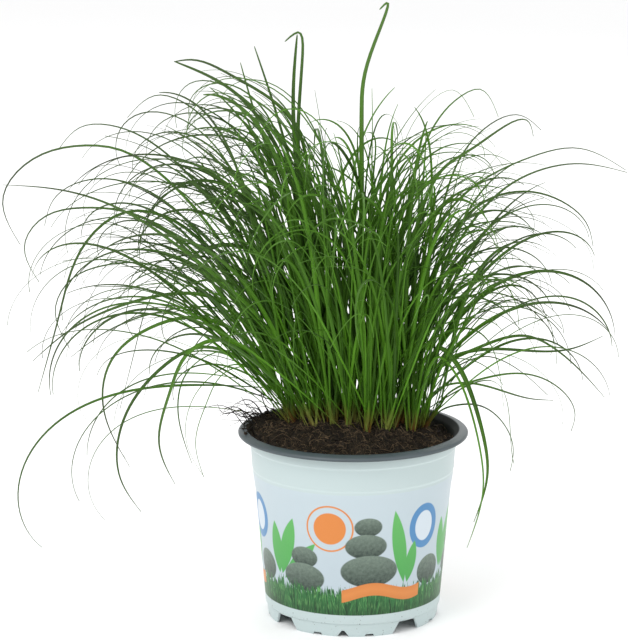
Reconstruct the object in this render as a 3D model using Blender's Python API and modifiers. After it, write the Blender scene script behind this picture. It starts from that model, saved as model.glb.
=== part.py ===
"""A potted umbrella sedge of the grass-leaved kind: a dense tuft of narrow keeled leaves, rooted in
compost in a round plastic nursery pot.

Metres, +Z up, and -Y is the front. The origin is the middle of the whole plant's bounding box, on
the plane that the pot stands on. The tuft reaches further to -X than to +X, so the pot's axis is a
little to +X of the origin: everything is built about the pot's axis and carried by an empty there.
Each shoot is a short sheathed stem with four leaves grown from it, and is one solid. The pot and the
compost are the other two.
"""

import math
from dataclasses import dataclass

import bmesh
import bpy
import numpy as np
from mathutils import Matrix, Vector

MM = 0.001

# Where the pot's axis stands
POT_AXIS = (21.5 * MM, 0.0)

# Pot: the wall's sizes, and the rings where its turned profile changes
RIM_RADIUS = 60.0 * MM
POT_HEIGHT = 100.0 * MM
WALL = 1.1 * MM
LIP_INNER_RADIUS = 55.4 * MM
LIP_EDGE = 2.8 * MM
SHOULDER_HEIGHT = 78.0 * MM
SHOULDER_RADIUS = 51.6 * MM
COLLAR_RADIUS = 52.6 * MM
COLLAR_TOP_RADIUS = 53.8 * MM
BASE_RADIUS = 45.9 * MM
FOOT_RADIUS = 44.4 * MM
FOOT_HEIGHT = 6.8 * MM
POT_SIDES = 34

# Foot: four gaps up to the base, and in the middle of each of the four feet a V notch between two
# shallow ones. A notch's angles are its width round the foot, at the bottom and at its top.
FEET = 4
FOOT_TURN = -6.3
GAP_ANGLES = (22.0, 13.0)
GAP_HEIGHT = 6.3 * MM
NOTCH_ANGLES = (8.2, 1.6)
NOTCH_HEIGHT = 3.3 * MM
SMALL_NOTCH_ANGLES = (7.0, 5.4)
SMALL_NOTCH_HEIGHT = 1.3 * MM
SMALL_NOTCH_OFFSET = 17.6
DRAIN_HOLES = 8
DRAIN_RADIUS = 4.0 * MM
DRAIN_CIRCLE = 32.0 * MM

# Compost: a mound that is highest in the middle and slopes down a little to +X
FIT_GAP = 0.4 * MM
SOIL_EDGE_HEIGHT = 95.4 * MM
SOIL_MOUND = 6.5 * MM
SOIL_RADIUS = 52.2 * MM
SOIL_SLOPE = -0.05

# Tuft: where the shoots stand, an oval that is set back from the pot's axis
SHOOTS = 44
TUFT_RADII = (36.0 * MM, 29.0 * MM)
TUFT_CENTRE = (3.0 * MM, 13.0 * MM)
SHOOT_SPACING = 6.4 * MM
ROOT_GAP = 0.8 * MM
SHEATH_BASE_RADIUS = 1.7 * MM
SHEATH_TOP_RADIUS = 1.1 * MM
SHEATH_HEIGHT = (15.0 * MM, 23.0 * MM)
SHEATH_SIDES = 5

# Leaves
LEAVES_PER_SHOOT = 4
FINE_STEPS = 48
LEADER_STATIONS = (0.02, 0.18, 0.38, 0.58, 0.76, 0.9, 1.0)
LEAF_STATIONS = (0.0, 0.22, 0.46, 0.68, 0.86, 1.0)
SHORT_LEAF_STATIONS = (0.0, 0.28, 0.56, 0.8, 1.0)
KEEL_DEPTH = 0.32
LEAST_KEEL = 0.35 * MM
LEAF_GAP = 0.4 * MM
POT_CLEARANCE = 3.0 * MM
REACH_CENTRE = (-20.0 * MM, 0.0, 110.0 * MM)
REACH = (162.0 * MM, 122.0 * MM, 192.0 * MM)
TRIES = 500
SEED = 21


@dataclass
class Leader:
    """A leaf whose course is given: its root, its heading seen from above, its greatest width, and
    the points it passes as (distance out from the root, height above the table)."""

    root: tuple
    heading: float
    width: float
    stops: tuple


# The longest leaves of the tuft, all in millimetres and degrees: heading 0 is +X and 180 is -X.
LEADERS = (
    Leader((-3, 8), 8, 3.4, ((7, 213), (7, 268), (12, 296), (19, 320), (16, 317))),
    Leader((-10, 4), 178, 3.4, ((14, 191), (20, 245), (21, 276), (19, 305))),
    Leader((-5, 18), 172, 3.0, ((17, 187), (24, 243), (22, 288), (24, 304), (31, 299))),
    Leader((-14, 15), 176, 3.0, ((10, 194), (24, 241), (50, 275), (79, 289))),
    Leader((-8, 26), 184, 2.6, ((15, 205), (24, 258), (56, 282), (77, 290), (85, 289))),
    Leader((-2, 30), 175, 2.4, ((26, 214), (41, 268), (50, 295))),
    Leader((-12, 33), 183, 2.2, ((21, 206), (40, 262), (47, 287))),
    Leader((-16, -1), 186, 3.2, ((31, 157), (71, 195), (99, 215), (134, 228), (163, 231))),
    Leader((-24, 7), 178, 3.0, ((27, 147), (49, 167), (69, 169), (92, 164), (124, 149), (144, 132))),
    Leader((-26, 16), 186, 3.0, ((38, 176), (72, 210), (90, 213), (115, 194), (126, 164), (139, 118))),
    Leader((-31, 2), 192, 3.0, ((17, 135), (38, 148), (54, 143), (65, 122), (71, 93), (63, 72))),
    Leader((-33, 14), 174, 2.8, ((16, 135), (48, 154), (74, 148), (95, 130), (100, 106), (86, 72))),
    Leader((-29, 23), 168, 2.8, ((26, 126), (51, 135), (75, 122), (97, 90), (98, 59), (87, 42))),
    Leader((31, -3), -14, 3.6, ((7, 131), (15, 144), (21, 139), (30, 123), (37, 101), (40, 79), (33, 52))),
    Leader((16, 4), 6, 2.4, ((24, 167), (46, 208), (64, 226), (84, 235), (101, 237), (126, 232))),
    Leader((12, 16), -4, 2.0, ((28, 199), (51, 226), (79, 241), (104, 246), (128, 235))),
    Leader((8, -3), 4, 3.4, ((24, 205), (39, 238), (54, 248), (82, 260), (84, 253))),
    Leader((22, 19), 2, 2.6, ((18, 169), (48, 217), (70, 221), (86, 216), (100, 203), (103, 192))),
    Leader((35, 14), 10, 2.6, ((11, 130), (31, 137), (82, 136), (98, 142))),
    Leader((29, 24), 14, 2.4, ((17, 125), (38, 135), (65, 140), (81, 132), (109, 104))),
    Leader((37, 7), -8, 1.8, ((14, 118), (32, 126), (47, 129), (66, 125), (79, 108), (77, 99))),
    Leader((4, 25), 8, 2.2, ((21, 189), (38, 254), (53, 270), (61, 273), (72, 258))),
    Leader((18, 29), 5, 2.0, ((27, 204), (50, 252), (69, 259), (80, 251))),
    Leader((-18, 27), 178, 2.2, ((30, 194), (60, 258), (72, 267), (84, 270), (100, 258))),
    Leader((-21, -6), 184, 2.2, ((32, 185), (71, 243), (103, 261), (118, 260), (129, 249))),
    Leader(
        (-20, 21), 172, 2.6,
        ((40, 178), (75, 222), (106, 241), (124, 242), (152, 233), (167, 212), (158, 188)),
    ),
    Leader((-24, 29), 180, 2.2, ((36, 161), (72, 212), (105, 226), (120, 224), (133, 215), (138, 201))),
    Leader(
        (-31, 8), 190, 2.4,
        ((28, 162), (69, 207), (86, 215), (109, 218), (130, 213), (139, 200), (132, 180)),
    ),
)


@dataclass
class Leaf:
    """A leaf's centre line, the heading of its blade at each point, its greatest width and how far
    the blade twists from root to tip."""

    line: np.ndarray
    headings: np.ndarray
    width: float
    twist: float
    stations: tuple


@dataclass
class Shoot:
    """A stem base in its sheath, and the leaves grown from it."""

    base: np.ndarray
    heading: float
    lean: float
    sheath: float
    leaves: list


def soil_height(x, y):
    """A paraboloid mound on a plane that slopes down to +X."""
    share = (x * x + y * y) / SOIL_RADIUS**2
    return SOIL_EDGE_HEIGHT + SOIL_MOUND * (1 - share) + SOIL_SLOPE * x


def spline_through(stops):
    """Out and up at even steps of a natural cubic spline through these points, by chord length."""
    knots = np.array(stops, float)
    spans = np.linalg.norm(np.diff(knots, axis=0), axis=1)
    at_knots = np.concatenate([[0.0], np.cumsum(spans)])
    count = len(knots)
    system = np.eye(count)
    known = np.zeros((count, 2))
    for i in range(1, count - 1):
        system[i, i - 1 : i + 2] = spans[i - 1], 2 * (spans[i - 1] + spans[i]), spans[i]
        slopes = np.diff(knots[i - 1 : i + 2], axis=0) / spans[i - 1 : i + 1, None]
        known[i] = 6 * (slopes[1] - slopes[0])
    bending = np.linalg.solve(system, known)
    steps = np.linspace(0.0, at_knots[-1], FINE_STEPS + 1)
    i = np.clip(np.searchsorted(at_knots, steps, side="right") - 1, 0, count - 2)
    span = spans[i, None]
    before = (at_knots[i + 1] - steps)[:, None]
    after = (steps - at_knots[i])[:, None]
    cubic = (bending[i] * before**3 + bending[i + 1] * after**3) / (6 * span)
    start = (knots[i] / span - bending[i] * span / 6) * before
    end = (knots[i + 1] / span - bending[i + 1] * span / 6) * after
    return cubic + start + end


def within_reach(leaf):
    """True if the leaf stays in the tuft's outline: an ellipse seen from above, domed at the top."""
    share = (leaf.line - np.array(REACH_CENTRE)) / np.array(REACH)
    share[:, 2] = np.maximum(share[:, 2], 0)
    return ((share**2).sum(axis=1) < 1).all()


def guided_leaf(leader, base, heading):
    """The leaf that passes a leader's stops, in the upright plane of this heading."""
    start = (0.0, base[2] / MM)
    course = spline_through((start, *leader.stops)) * MM
    turn = math.radians(heading)
    line = np.empty((FINE_STEPS + 1, 3))
    line[:, 0] = base[0] + course[:, 0] * math.cos(turn)
    line[:, 1] = base[1] + course[:, 0] * math.sin(turn)
    line[:, 2] = course[:, 1]
    return Leaf(line, np.full(FINE_STEPS + 1, turn), leader.width * MM, 0.0, LEADER_STATIONS)


def arching_leaf(root, heading, turn, lean, droop, bend, length, width, twist, stations):
    """A leaf that leaves its root at one lean from the vertical and ends at another. The lean changes
    as a power of the share of length, and the heading as its square."""
    middle = (np.arange(FINE_STEPS) + 0.5) / FINE_STEPS
    tilt = np.radians(lean + (droop - lean) * middle**bend)
    course = np.radians(heading + turn * middle**2)
    steps = np.stack([np.sin(tilt) * np.cos(course), np.sin(tilt) * np.sin(course), np.cos(tilt)], axis=1)
    line = np.vstack([root, root + np.cumsum(steps * length / FINE_STEPS, axis=0)])
    headings = np.radians(heading + turn * (np.arange(FINE_STEPS + 1) / FINE_STEPS) ** 2)
    return Leaf(line, headings, width, math.radians(twist), stations)


def half_width(share, width):
    """Half the blade's width: it widens out of the sheath, then tapers to a hair-fine tip."""
    widening = 0.5 + 0.5 * np.clip(share / 0.25, 0, 1)
    return 0.5 * width * widening * (1 - share) ** 0.7


def at_stations(leaf):
    """The centre line's points at the leaf's stations."""
    index = np.round(np.array(leaf.stations) * FINE_STEPS).astype(int)
    return leaf.line[index], index


def segments_of(leaf):
    """The straight runs between a leaf's stations: starts, ends and radii."""
    points, _ = at_stations(leaf)
    reach = half_width(np.array(leaf.stations), leaf.width)
    return points[:-1], points[1:], np.maximum(reach[:-1], reach[1:])


def sheath_segment(shoot):
    """The sheath as one run."""
    top = sheath_point(shoot, 1.0)
    return shoot.base[None], top[None], np.array([SHEATH_BASE_RADIUS])


def sheath_point(shoot, share):
    """A point on the sheath's axis, at this share of its height."""
    out = math.tan(math.radians(shoot.lean)) * shoot.sheath * share
    turn = math.radians(shoot.heading)
    return shoot.base + np.array([out * math.cos(turn), out * math.sin(turn), shoot.sheath * share])


def least_gap(own, others):
    """The least distance between the surfaces of two sets of round-ended runs."""
    starts, ends, radii = (part[:, None] for part in own)
    far_starts, far_ends, far_radii = (part[None] for part in others)
    along, far_along, between = ends - starts, far_ends - far_starts, starts - far_starts
    a = (along * along).sum(-1)
    e = (far_along * far_along).sum(-1)
    b = (along * far_along).sum(-1)
    c = (along * between).sum(-1)
    f = (far_along * between).sum(-1)
    s = np.clip((b * f - c * e) / np.maximum(a * e - b * b, 1e-18), 0, 1)
    t = np.clip((b * s + f) / e, 0, 1)
    s = np.clip((b * t - c) / a, 0, 1)
    apart = between + s[..., None] * along - t[..., None] * far_along
    return (np.linalg.norm(apart, axis=-1) - radii - far_radii).min()


class Tuft:
    """Grows shoots and leaves one after another, each clear of those of every other shoot."""

    def __init__(self):
        self.draw = np.random.default_rng(SEED)
        self.shoots = []
        self.runs = []

    def others(self, number):
        """The runs that belong to the other shoots, or None."""
        found = [run for owner, run in self.runs if owner != number]
        if not found:
            return None
        return tuple(np.concatenate(parts) for parts in zip(*found))

    def clears(self, leaf, number):
        """True if the leaf stays off the pot, the compost and the other shoots."""
        past_sheath = leaf.line[FINE_STEPS // 6 :]
        over_pot = np.hypot(past_sheath[:, 0], past_sheath[:, 1]) < RIM_RADIUS + POT_CLEARANCE
        if (past_sheath[over_pot, 2] < POT_HEIGHT + POT_CLEARANCE).any():
            return False
        others = self.others(number)
        return others is None or least_gap(segments_of(leaf), others) > LEAF_GAP

    def keep(self, leaf, number):
        """Adds a leaf to its shoot."""
        self.shoots[number].leaves.append(leaf)
        self.runs.append((number, segments_of(leaf)))

    def plant(self, x, y, heading, lean):
        """Starts a shoot on the compost and returns its number."""
        base = np.array([x, y, soil_height(x, y) + ROOT_GAP])
        sheath = self.draw.uniform(*SHEATH_HEIGHT)
        self.shoots.append(Shoot(base, heading, lean, sheath, []))
        number = len(self.shoots) - 1
        self.runs.append((number, sheath_segment(self.shoots[number])))
        return number

    def plant_leaders(self):
        """The shoots whose first leaf is given. A leaf that would touch another swings aside a little."""
        for leader in LEADERS:
            x, y = (value * MM for value in leader.root)
            first_out, first_up = leader.stops[0]
            rise = first_up - soil_height(x, y) / MM
            lean = math.degrees(math.atan2(first_out, rise))
            number = self.plant(x, y, leader.heading, lean)
            for attempt in range(TRIES):
                swing = (attempt + 1) // 2 * (1 if attempt % 2 else -1)
                leaf = guided_leaf(leader, self.shoots[number].base, leader.heading + swing)
                if self.clears(leaf, number):
                    self.shoots[number].heading = leader.heading + swing
                    self.keep(leaf, number)
                    break

    def free_places(self):
        """Places on a sunflower spiral that keep clear of the shoots already there."""
        golden = math.pi * (3 - math.sqrt(5))
        count = 2 * SHOOTS
        for i in range(count):
            share = math.sqrt((i + 0.5) / count)
            x = TUFT_CENTRE[0] + TUFT_RADII[0] * share * math.cos(i * golden)
            y = TUFT_CENTRE[1] + TUFT_RADII[1] * share * math.sin(i * golden)
            taken = [math.hypot(x - s.base[0], y - s.base[1]) for s in self.shoots]
            if min(taken) > SHOOT_SPACING:
                yield x, y

    def plant_fillers(self):
        """The remaining shoots. They lean outwards, the more so the further out they stand."""
        for x, y in self.free_places():
            if len(self.shoots) == SHOOTS:
                break
            across, deep = x - TUFT_CENTRE[0], y - TUFT_CENTRE[1]
            outward = math.hypot(across / TUFT_RADII[0], deep / TUFT_RADII[1])
            heading = math.degrees(math.atan2(deep, across))
            number = self.plant(x, y, heading, 3 + 24 * outward)
            self.grow_leaf(number, 0)

    def grow_leaf(self, number, order):
        """Draws leaves from the shoot's own habit until one is clear. The later ones are shorter."""
        shoot = self.shoots[number]
        stations = LEAF_STATIONS if order < 2 else SHORT_LEAF_STATIONS
        for _ in range(TRIES):
            heading = shoot.heading + self.draw.normal(0, 26)
            sideways = abs(math.cos(math.radians(heading)))
            spread = self.draw.uniform(0.4, 1.15 + 0.85 * sideways)
            lean = max(1.0, shoot.lean * spread + self.draw.normal(0, 5))
            droop = lean + self.draw.uniform(35, 100 + 55 * sideways)
            length = (1.0 - 0.08 * order) * self.draw.uniform(155, 230 + 30 * sideways) * MM
            root = sheath_point(shoot, self.draw.uniform(0.35, 0.8))
            turn = self.draw.normal(0, 18)
            bend = self.draw.uniform(1.5, 4.5)
            width = self.draw.uniform(1.7, 3.0) * MM
            twist = self.draw.uniform(-50, 50)
            leaf = arching_leaf(root, heading, turn, lean, droop, bend, length, width, twist, stations)
            if within_reach(leaf) and self.clears(leaf, number):
                self.keep(leaf, number)
                return

    def grow(self):
        """Plants all shoots, then adds leaves to each in turn."""
        self.plant_leaders()
        self.plant_fillers()
        for order in range(1, LEAVES_PER_SHOOT):
            for number in range(len(self.shoots)):
                self.grow_leaf(number, order)
        return self.shoots


def add_loft(mesh, leaf):
    """Adds a leaf to a bmesh as one closed body: triangles with the keel below, ending in a point."""
    points, index = at_stations(leaf)
    tangents = np.gradient(points, axis=0)
    rings = []
    for i, share in enumerate(leaf.stations[:-1]):
        along = Vector(tangents[i]).normalized()
        heading = leaf.headings[index[i]]
        side = Vector((-math.sin(heading), math.cos(heading), 0))
        side = Matrix.Rotation(leaf.twist * share, 3, along) @ side
        upper = along.cross(side).normalized()
        half = float(half_width(share, leaf.width))
        keel = max(2 * half * KEEL_DEPTH, LEAST_KEEL)
        centre = Vector(points[i])
        corners = (centre - side * half, centre + side * half, centre - upper * keel)
        rings.append([mesh.verts.new(corner) for corner in corners])
    mesh.faces.new(rings[0])
    for ring, following in zip(rings, rings[1:]):
        for a, b in ((0, 1), (1, 2), (2, 0)):
            mesh.faces.new((ring[b], ring[a], following[a], following[b]))
    tip = mesh.verts.new(points[-1])
    for a, b in ((0, 1), (1, 2), (2, 0)):
        mesh.faces.new((rings[-1][b], rings[-1][a], tip))


def object_from(bm, name, collection, material=None):
    """A new object with this bmesh, its faces turned outwards."""
    bmesh.ops.recalc_face_normals(bm, faces=bm.faces)
    mesh = bpy.data.meshes.new(name)
    bm.to_mesh(mesh)
    bm.free()
    made = bpy.data.objects.new(name, mesh)
    collection.objects.link(made)
    if material:
        mesh.materials.append(material)
    return made


def as_helper(made):
    """Marks a cutter or a blank, which is not a part."""
    made.hide_render = True
    made.display_type = "WIRE"
    return made


def boolean(made, other, operation, use_self=False):
    """Adds a Boolean modifier."""
    modifier = made.modifiers.new(operation.lower() + "_" + other.name, "BOOLEAN")
    modifier.operation = operation
    modifier.object = other
    modifier.solver = "EXACT"
    modifier.use_self = use_self


def turned(name, profile, collection, material=None):
    """A mesh turned about Z from (radius, height) points, with its modifier applied."""
    mesh = bpy.data.meshes.new(name + "_profile")
    edges = [(i, i + 1) for i in range(len(profile) - 1)]
    mesh.from_pydata([(radius, 0, height) for radius, height in profile], edges, [])
    outline = bpy.data.objects.new(name + "_profile", mesh)
    collection.objects.link(outline)
    screw = outline.modifiers.new("turn", "SCREW")
    screw.steps = POT_SIDES
    screw.render_steps = POT_SIDES
    screw.use_merge_vertices = True
    screw.merge_threshold = 0.01 * MM
    bpy.context.view_layer.update()
    evaluated = outline.evaluated_get(bpy.context.evaluated_depsgraph_get())
    solid = bpy.data.objects.new(name, bpy.data.meshes.new_from_object(evaluated))
    collection.objects.link(solid)
    bpy.data.objects.remove(outline)
    if material:
        solid.data.materials.append(material)
    return solid


def wall_radius(height):
    """The pot's outer radius between the base and the shoulder."""
    share = (height - FOOT_HEIGHT) / (SHOULDER_HEIGHT - FOOT_HEIGHT)
    return BASE_RADIUS + (SHOULDER_RADIUS - BASE_RADIUS) * share


def make_pot(collection, cutters, material):
    """The pot: a turned wall with a rolled lip and a raised base, cut into feet, with drain holes."""
    base_top = FOOT_HEIGHT + WALL
    lip_bottom = POT_HEIGHT - LIP_EDGE
    profile = (
        (0, base_top),
        (wall_radius(base_top) - WALL, base_top),
        (SHOULDER_RADIUS - WALL, SHOULDER_HEIGHT),
        (COLLAR_TOP_RADIUS - WALL, lip_bottom),
        (LIP_INNER_RADIUS, POT_HEIGHT),
        (RIM_RADIUS - 0.8 * MM, POT_HEIGHT - 0.9 * MM),
        (RIM_RADIUS, POT_HEIGHT - 1.9 * MM),
        (RIM_RADIUS - 0.3 * MM, lip_bottom),
        (COLLAR_TOP_RADIUS, lip_bottom - 0.5 * MM),
        (COLLAR_RADIUS, SHOULDER_HEIGHT + 1.6 * MM),
        (SHOULDER_RADIUS, SHOULDER_HEIGHT),
        (BASE_RADIUS, FOOT_HEIGHT + 0.6 * MM),
        (BASE_RADIUS - 0.9 * MM, FOOT_HEIGHT - 0.4 * MM),
        (FOOT_RADIUS, 0),
        (FOOT_RADIUS - WALL, 0),
        (BASE_RADIUS - 0.9 * MM - WALL, FOOT_HEIGHT),
        (0, FOOT_HEIGHT),
    )
    pot = turned("pot", profile, collection, material)
    quarter = 360 / FEET
    for foot in range(FEET):
        # One foot's middle faces the front, so the gaps are half a quarter away from it.
        middle = FOOT_TURN - 90 + foot * quarter
        add_notch(pot, cutters, f"gap_{foot}", middle + quarter / 2, GAP_ANGLES, GAP_HEIGHT)
        add_notch(pot, cutters, f"notch_{foot}", middle, NOTCH_ANGLES, NOTCH_HEIGHT)
        for side in (-1, 1):
            name = f"nick_{foot}_{side + 1}"
            angle = middle + side * SMALL_NOTCH_OFFSET
            add_notch(pot, cutters, name, angle, SMALL_NOTCH_ANGLES, SMALL_NOTCH_HEIGHT)
    for hole in range(DRAIN_HOLES):
        add_drain(pot, cutters, hole)
    return pot


def add_notch(pot, cutters, name, angle, widths, height):
    """Cuts a notch out of the foot from below, with sides that slope between its two widths."""
    bottom, top = (FOOT_RADIUS * math.radians(width) / 2 for width in widths)
    below = 1 * MM
    lowest = bottom + (bottom - top) * below / height
    bm = bmesh.new()
    bmesh.ops.create_cube(bm, size=1)
    for vert in bm.verts:
        at_top = vert.co.z > 0
        vert.co.x = FOOT_RADIUS + vert.co.x * 8 * MM
        vert.co.y = 2 * vert.co.y * (top if at_top else lowest)
        vert.co.z = height if at_top else -below
    cutter = as_helper(object_from(bm, name, cutters))
    cutter.rotation_euler.z = math.radians(angle)
    boolean(pot, cutter, "DIFFERENCE")


def add_drain(pot, cutters, hole):
    """Cuts one round drain hole through the base."""
    bm = bmesh.new()
    length = 6 * MM
    bmesh.ops.create_cone(
        bm, cap_ends=True, segments=8, radius1=DRAIN_RADIUS, radius2=DRAIN_RADIUS, depth=length
    )
    cutter = as_helper(object_from(bm, f"drain_{hole}", cutters))
    angle = 2 * math.pi * (hole + 0.5) / DRAIN_HOLES
    height = FOOT_HEIGHT + WALL / 2
    cutter.location = (DRAIN_CIRCLE * math.cos(angle), DRAIN_CIRCLE * math.sin(angle), height)
    boolean(pot, cutter, "DIFFERENCE")


def make_soil(collection, material):
    """The compost: it fills the pot to a small gap, and its top follows the mound."""
    floor = FOOT_HEIGHT + WALL + FIT_GAP
    inset = WALL + FIT_GAP
    top_radii = (0.0, 0.28, 0.56, 0.8)
    profile = [(share * SOIL_RADIUS, SOIL_EDGE_HEIGHT) for share in top_radii]
    profile += [
        (SOIL_RADIUS, SOIL_EDGE_HEIGHT),
        (SHOULDER_RADIUS - inset, SHOULDER_HEIGHT),
        (wall_radius(floor) - inset, floor),
        (0, floor),
    ]
    soil = turned("soil", profile, collection, material)
    for vert in soil.data.vertices:
        if vert.co.z > SHOULDER_HEIGHT + 3 * MM:
            vert.co.z = soil_height(vert.co.x, vert.co.y)
    return soil


def make_shoot(number, shoot, collection, blanks, material):
    """One shoot: its leaves, joined to the sheath they grow from."""
    name = f"shoot_{number + 1:02d}"
    bm = bmesh.new()
    for leaf in shoot.leaves:
        add_loft(bm, leaf)
    made = object_from(bm, name, collection, material)
    bm = bmesh.new()
    bmesh.ops.create_cone(
        bm,
        cap_ends=True,
        segments=SHEATH_SIDES,
        radius1=SHEATH_BASE_RADIUS,
        radius2=SHEATH_TOP_RADIUS,
        depth=shoot.sheath,
    )
    # The sheath leans by shearing, so that its foot stays level on the compost.
    for vert in bm.verts:
        share = vert.co.z / shoot.sheath + 0.5
        centre = Vector(sheath_point(shoot, share))
        vert.co = Vector((vert.co.x, vert.co.y, 0)) + centre
    sheath = as_helper(object_from(bm, f"sheath_{number + 1:02d}", blanks))
    boolean(made, sheath, "UNION", use_self=True)
    return made


def principled(name, colour, roughness):
    """A plain material."""
    material = bpy.data.materials.new(name)
    material.use_nodes = True
    shader = material.node_tree.nodes["Principled BSDF"]
    shader.inputs["Base Color"].default_value = (*colour, 1)
    shader.inputs["Roughness"].default_value = roughness
    shader.inputs["Metallic"].default_value = 0
    material.diffuse_color = (*colour, 1)
    return material


def new_collection(name):
    """A collection in the scene."""
    made = bpy.data.collections.new(name)
    bpy.context.scene.collection.children.link(made)
    return made


def main():
    """Clears the scene, builds the potted plant and moves it by its axis."""
    for leftover in list(bpy.data.objects):
        bpy.data.objects.remove(leftover)
    plant = new_collection("potted_umbrella_sedge")
    helpers = new_collection("cutters_and_blanks")
    axis = bpy.data.objects.new("pot_axis", None)
    plant.objects.link(axis)
    make_pot(plant, helpers, principled("pot_plastic", (0.76, 0.82, 0.83), 0.45))
    make_soil(plant, principled("compost", (0.045, 0.028, 0.018), 0.95))
    leaf_green = principled("leaf", (0.09, 0.24, 0.04), 0.5)
    for number, shoot in enumerate(Tuft().grow()):
        make_shoot(number, shoot, plant, helpers, leaf_green)
    for made in [*plant.objects, *helpers.objects]:
        if made is not axis:
            made.parent = axis
    axis.location = (*POT_AXIS, 0)


main()
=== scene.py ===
"""The look of a potted umbrella sedge: a printed nursery pot, compost and a tuft of keeled leaves.

Metres, +Z up, -Y to the front. The leaves grow by the same rule and from the same seed as the solids
do, so that each shoot's stout leaves lie where its solid is, and finer leaves are added beside them.
"""

import logging
import math
from dataclasses import dataclass, field
from enum import Enum

import bmesh
import bpy
import numpy as np
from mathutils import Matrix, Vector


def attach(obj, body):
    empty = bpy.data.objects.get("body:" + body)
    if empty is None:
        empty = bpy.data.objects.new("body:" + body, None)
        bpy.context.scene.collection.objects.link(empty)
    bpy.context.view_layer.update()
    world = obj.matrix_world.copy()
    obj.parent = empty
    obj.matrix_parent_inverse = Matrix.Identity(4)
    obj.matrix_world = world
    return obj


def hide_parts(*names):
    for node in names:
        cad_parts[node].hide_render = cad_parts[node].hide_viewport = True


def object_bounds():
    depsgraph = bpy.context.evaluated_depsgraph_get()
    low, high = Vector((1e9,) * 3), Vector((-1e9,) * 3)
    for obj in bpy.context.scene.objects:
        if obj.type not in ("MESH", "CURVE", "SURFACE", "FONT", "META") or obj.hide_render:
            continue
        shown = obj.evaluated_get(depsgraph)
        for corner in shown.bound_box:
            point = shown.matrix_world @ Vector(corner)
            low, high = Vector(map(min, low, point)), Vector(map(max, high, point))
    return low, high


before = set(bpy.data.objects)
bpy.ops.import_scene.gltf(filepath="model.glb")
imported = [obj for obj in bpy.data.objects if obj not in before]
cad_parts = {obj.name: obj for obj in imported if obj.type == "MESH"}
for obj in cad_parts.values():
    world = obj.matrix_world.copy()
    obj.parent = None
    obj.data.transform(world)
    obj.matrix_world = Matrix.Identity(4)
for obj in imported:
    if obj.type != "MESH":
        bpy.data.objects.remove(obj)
SOLID_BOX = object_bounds()
LOG = logging.getLogger("potted_sedge")

MM = 0.001
POT_AXIS = np.array([21.5 * MM, 0.0, 0.0])
RIM_RADIUS = 60.0 * MM
POT_HEIGHT = 100.0 * MM
SOIL_RADIUS = 52.2 * MM
SOIL_EDGE_HEIGHT = 95.4 * MM
SOIL_MOUND = 6.5 * MM
SOIL_SLOPE = -0.05
FINE_STEPS = 48
WELD_DISTANCE = 0.002 * MM
PARALLEL_GUARD = 1e-18

Colour = tuple[float, float, float, float]


class Zone(Enum):
    """The two colours of the pot's plastic."""

    OUTSIDE = 0
    RIM = 1


def linear(red: int, green: int, blue: int) -> Colour:
    """A screen colour as linear light: ((c / 255 + 0.055) / 1.055) ** 2.4.

    Args:
        red: 0 to 255.
        green: 0 to 255.
        blue: 0 to 255.

    Returns:
        Linear red, green, blue and an alpha of 1.
    """
    return (*(((c / 255 + 0.055) / 1.055) ** 2.4 for c in (red, green, blue)), 1.0)


# Shaders


class Wire:
    """An output socket. Python's operators on it add Math nodes."""

    def __init__(self, shader: "Shader", socket: bpy.types.NodeSocket) -> None:
        """Keeps the shader and the socket."""
        self.shader = shader
        self.socket = socket

    def __add__(self, other: "Wire | float") -> "Wire":
        """self + other."""
        return self.shader.maths("ADD", self, other)

    def __sub__(self, other: "Wire | float") -> "Wire":
        """self - other."""
        return self.shader.maths("SUBTRACT", self, other)

    def __rsub__(self, other: "Wire | float") -> "Wire":
        """other - self."""
        return self.shader.maths("SUBTRACT", other, self)

    def __mul__(self, other: "Wire | float") -> "Wire":
        """self * other."""
        return self.shader.maths("MULTIPLY", self, other)

    def __truediv__(self, other: "Wire | float") -> "Wire":
        """self / other."""
        return self.shader.maths("DIVIDE", self, other)

    def __pow__(self, other: "Wire | float") -> "Wire":
        """self ** other."""
        return self.shader.maths("POWER", self, other)

    def clamped(self) -> "Wire":
        """self held between 0 and 1."""
        return self.shader.maths("ADD", self, 0.0, clamp=True)

    def above(self, level: float, soft: float) -> "Wire":
        """1 where self is over the level, 0 below, with a soft step of this width."""
        return ((self - level) / soft + 0.5).clamped()

    __radd__ = __add__
    __rmul__ = __mul__


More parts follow.
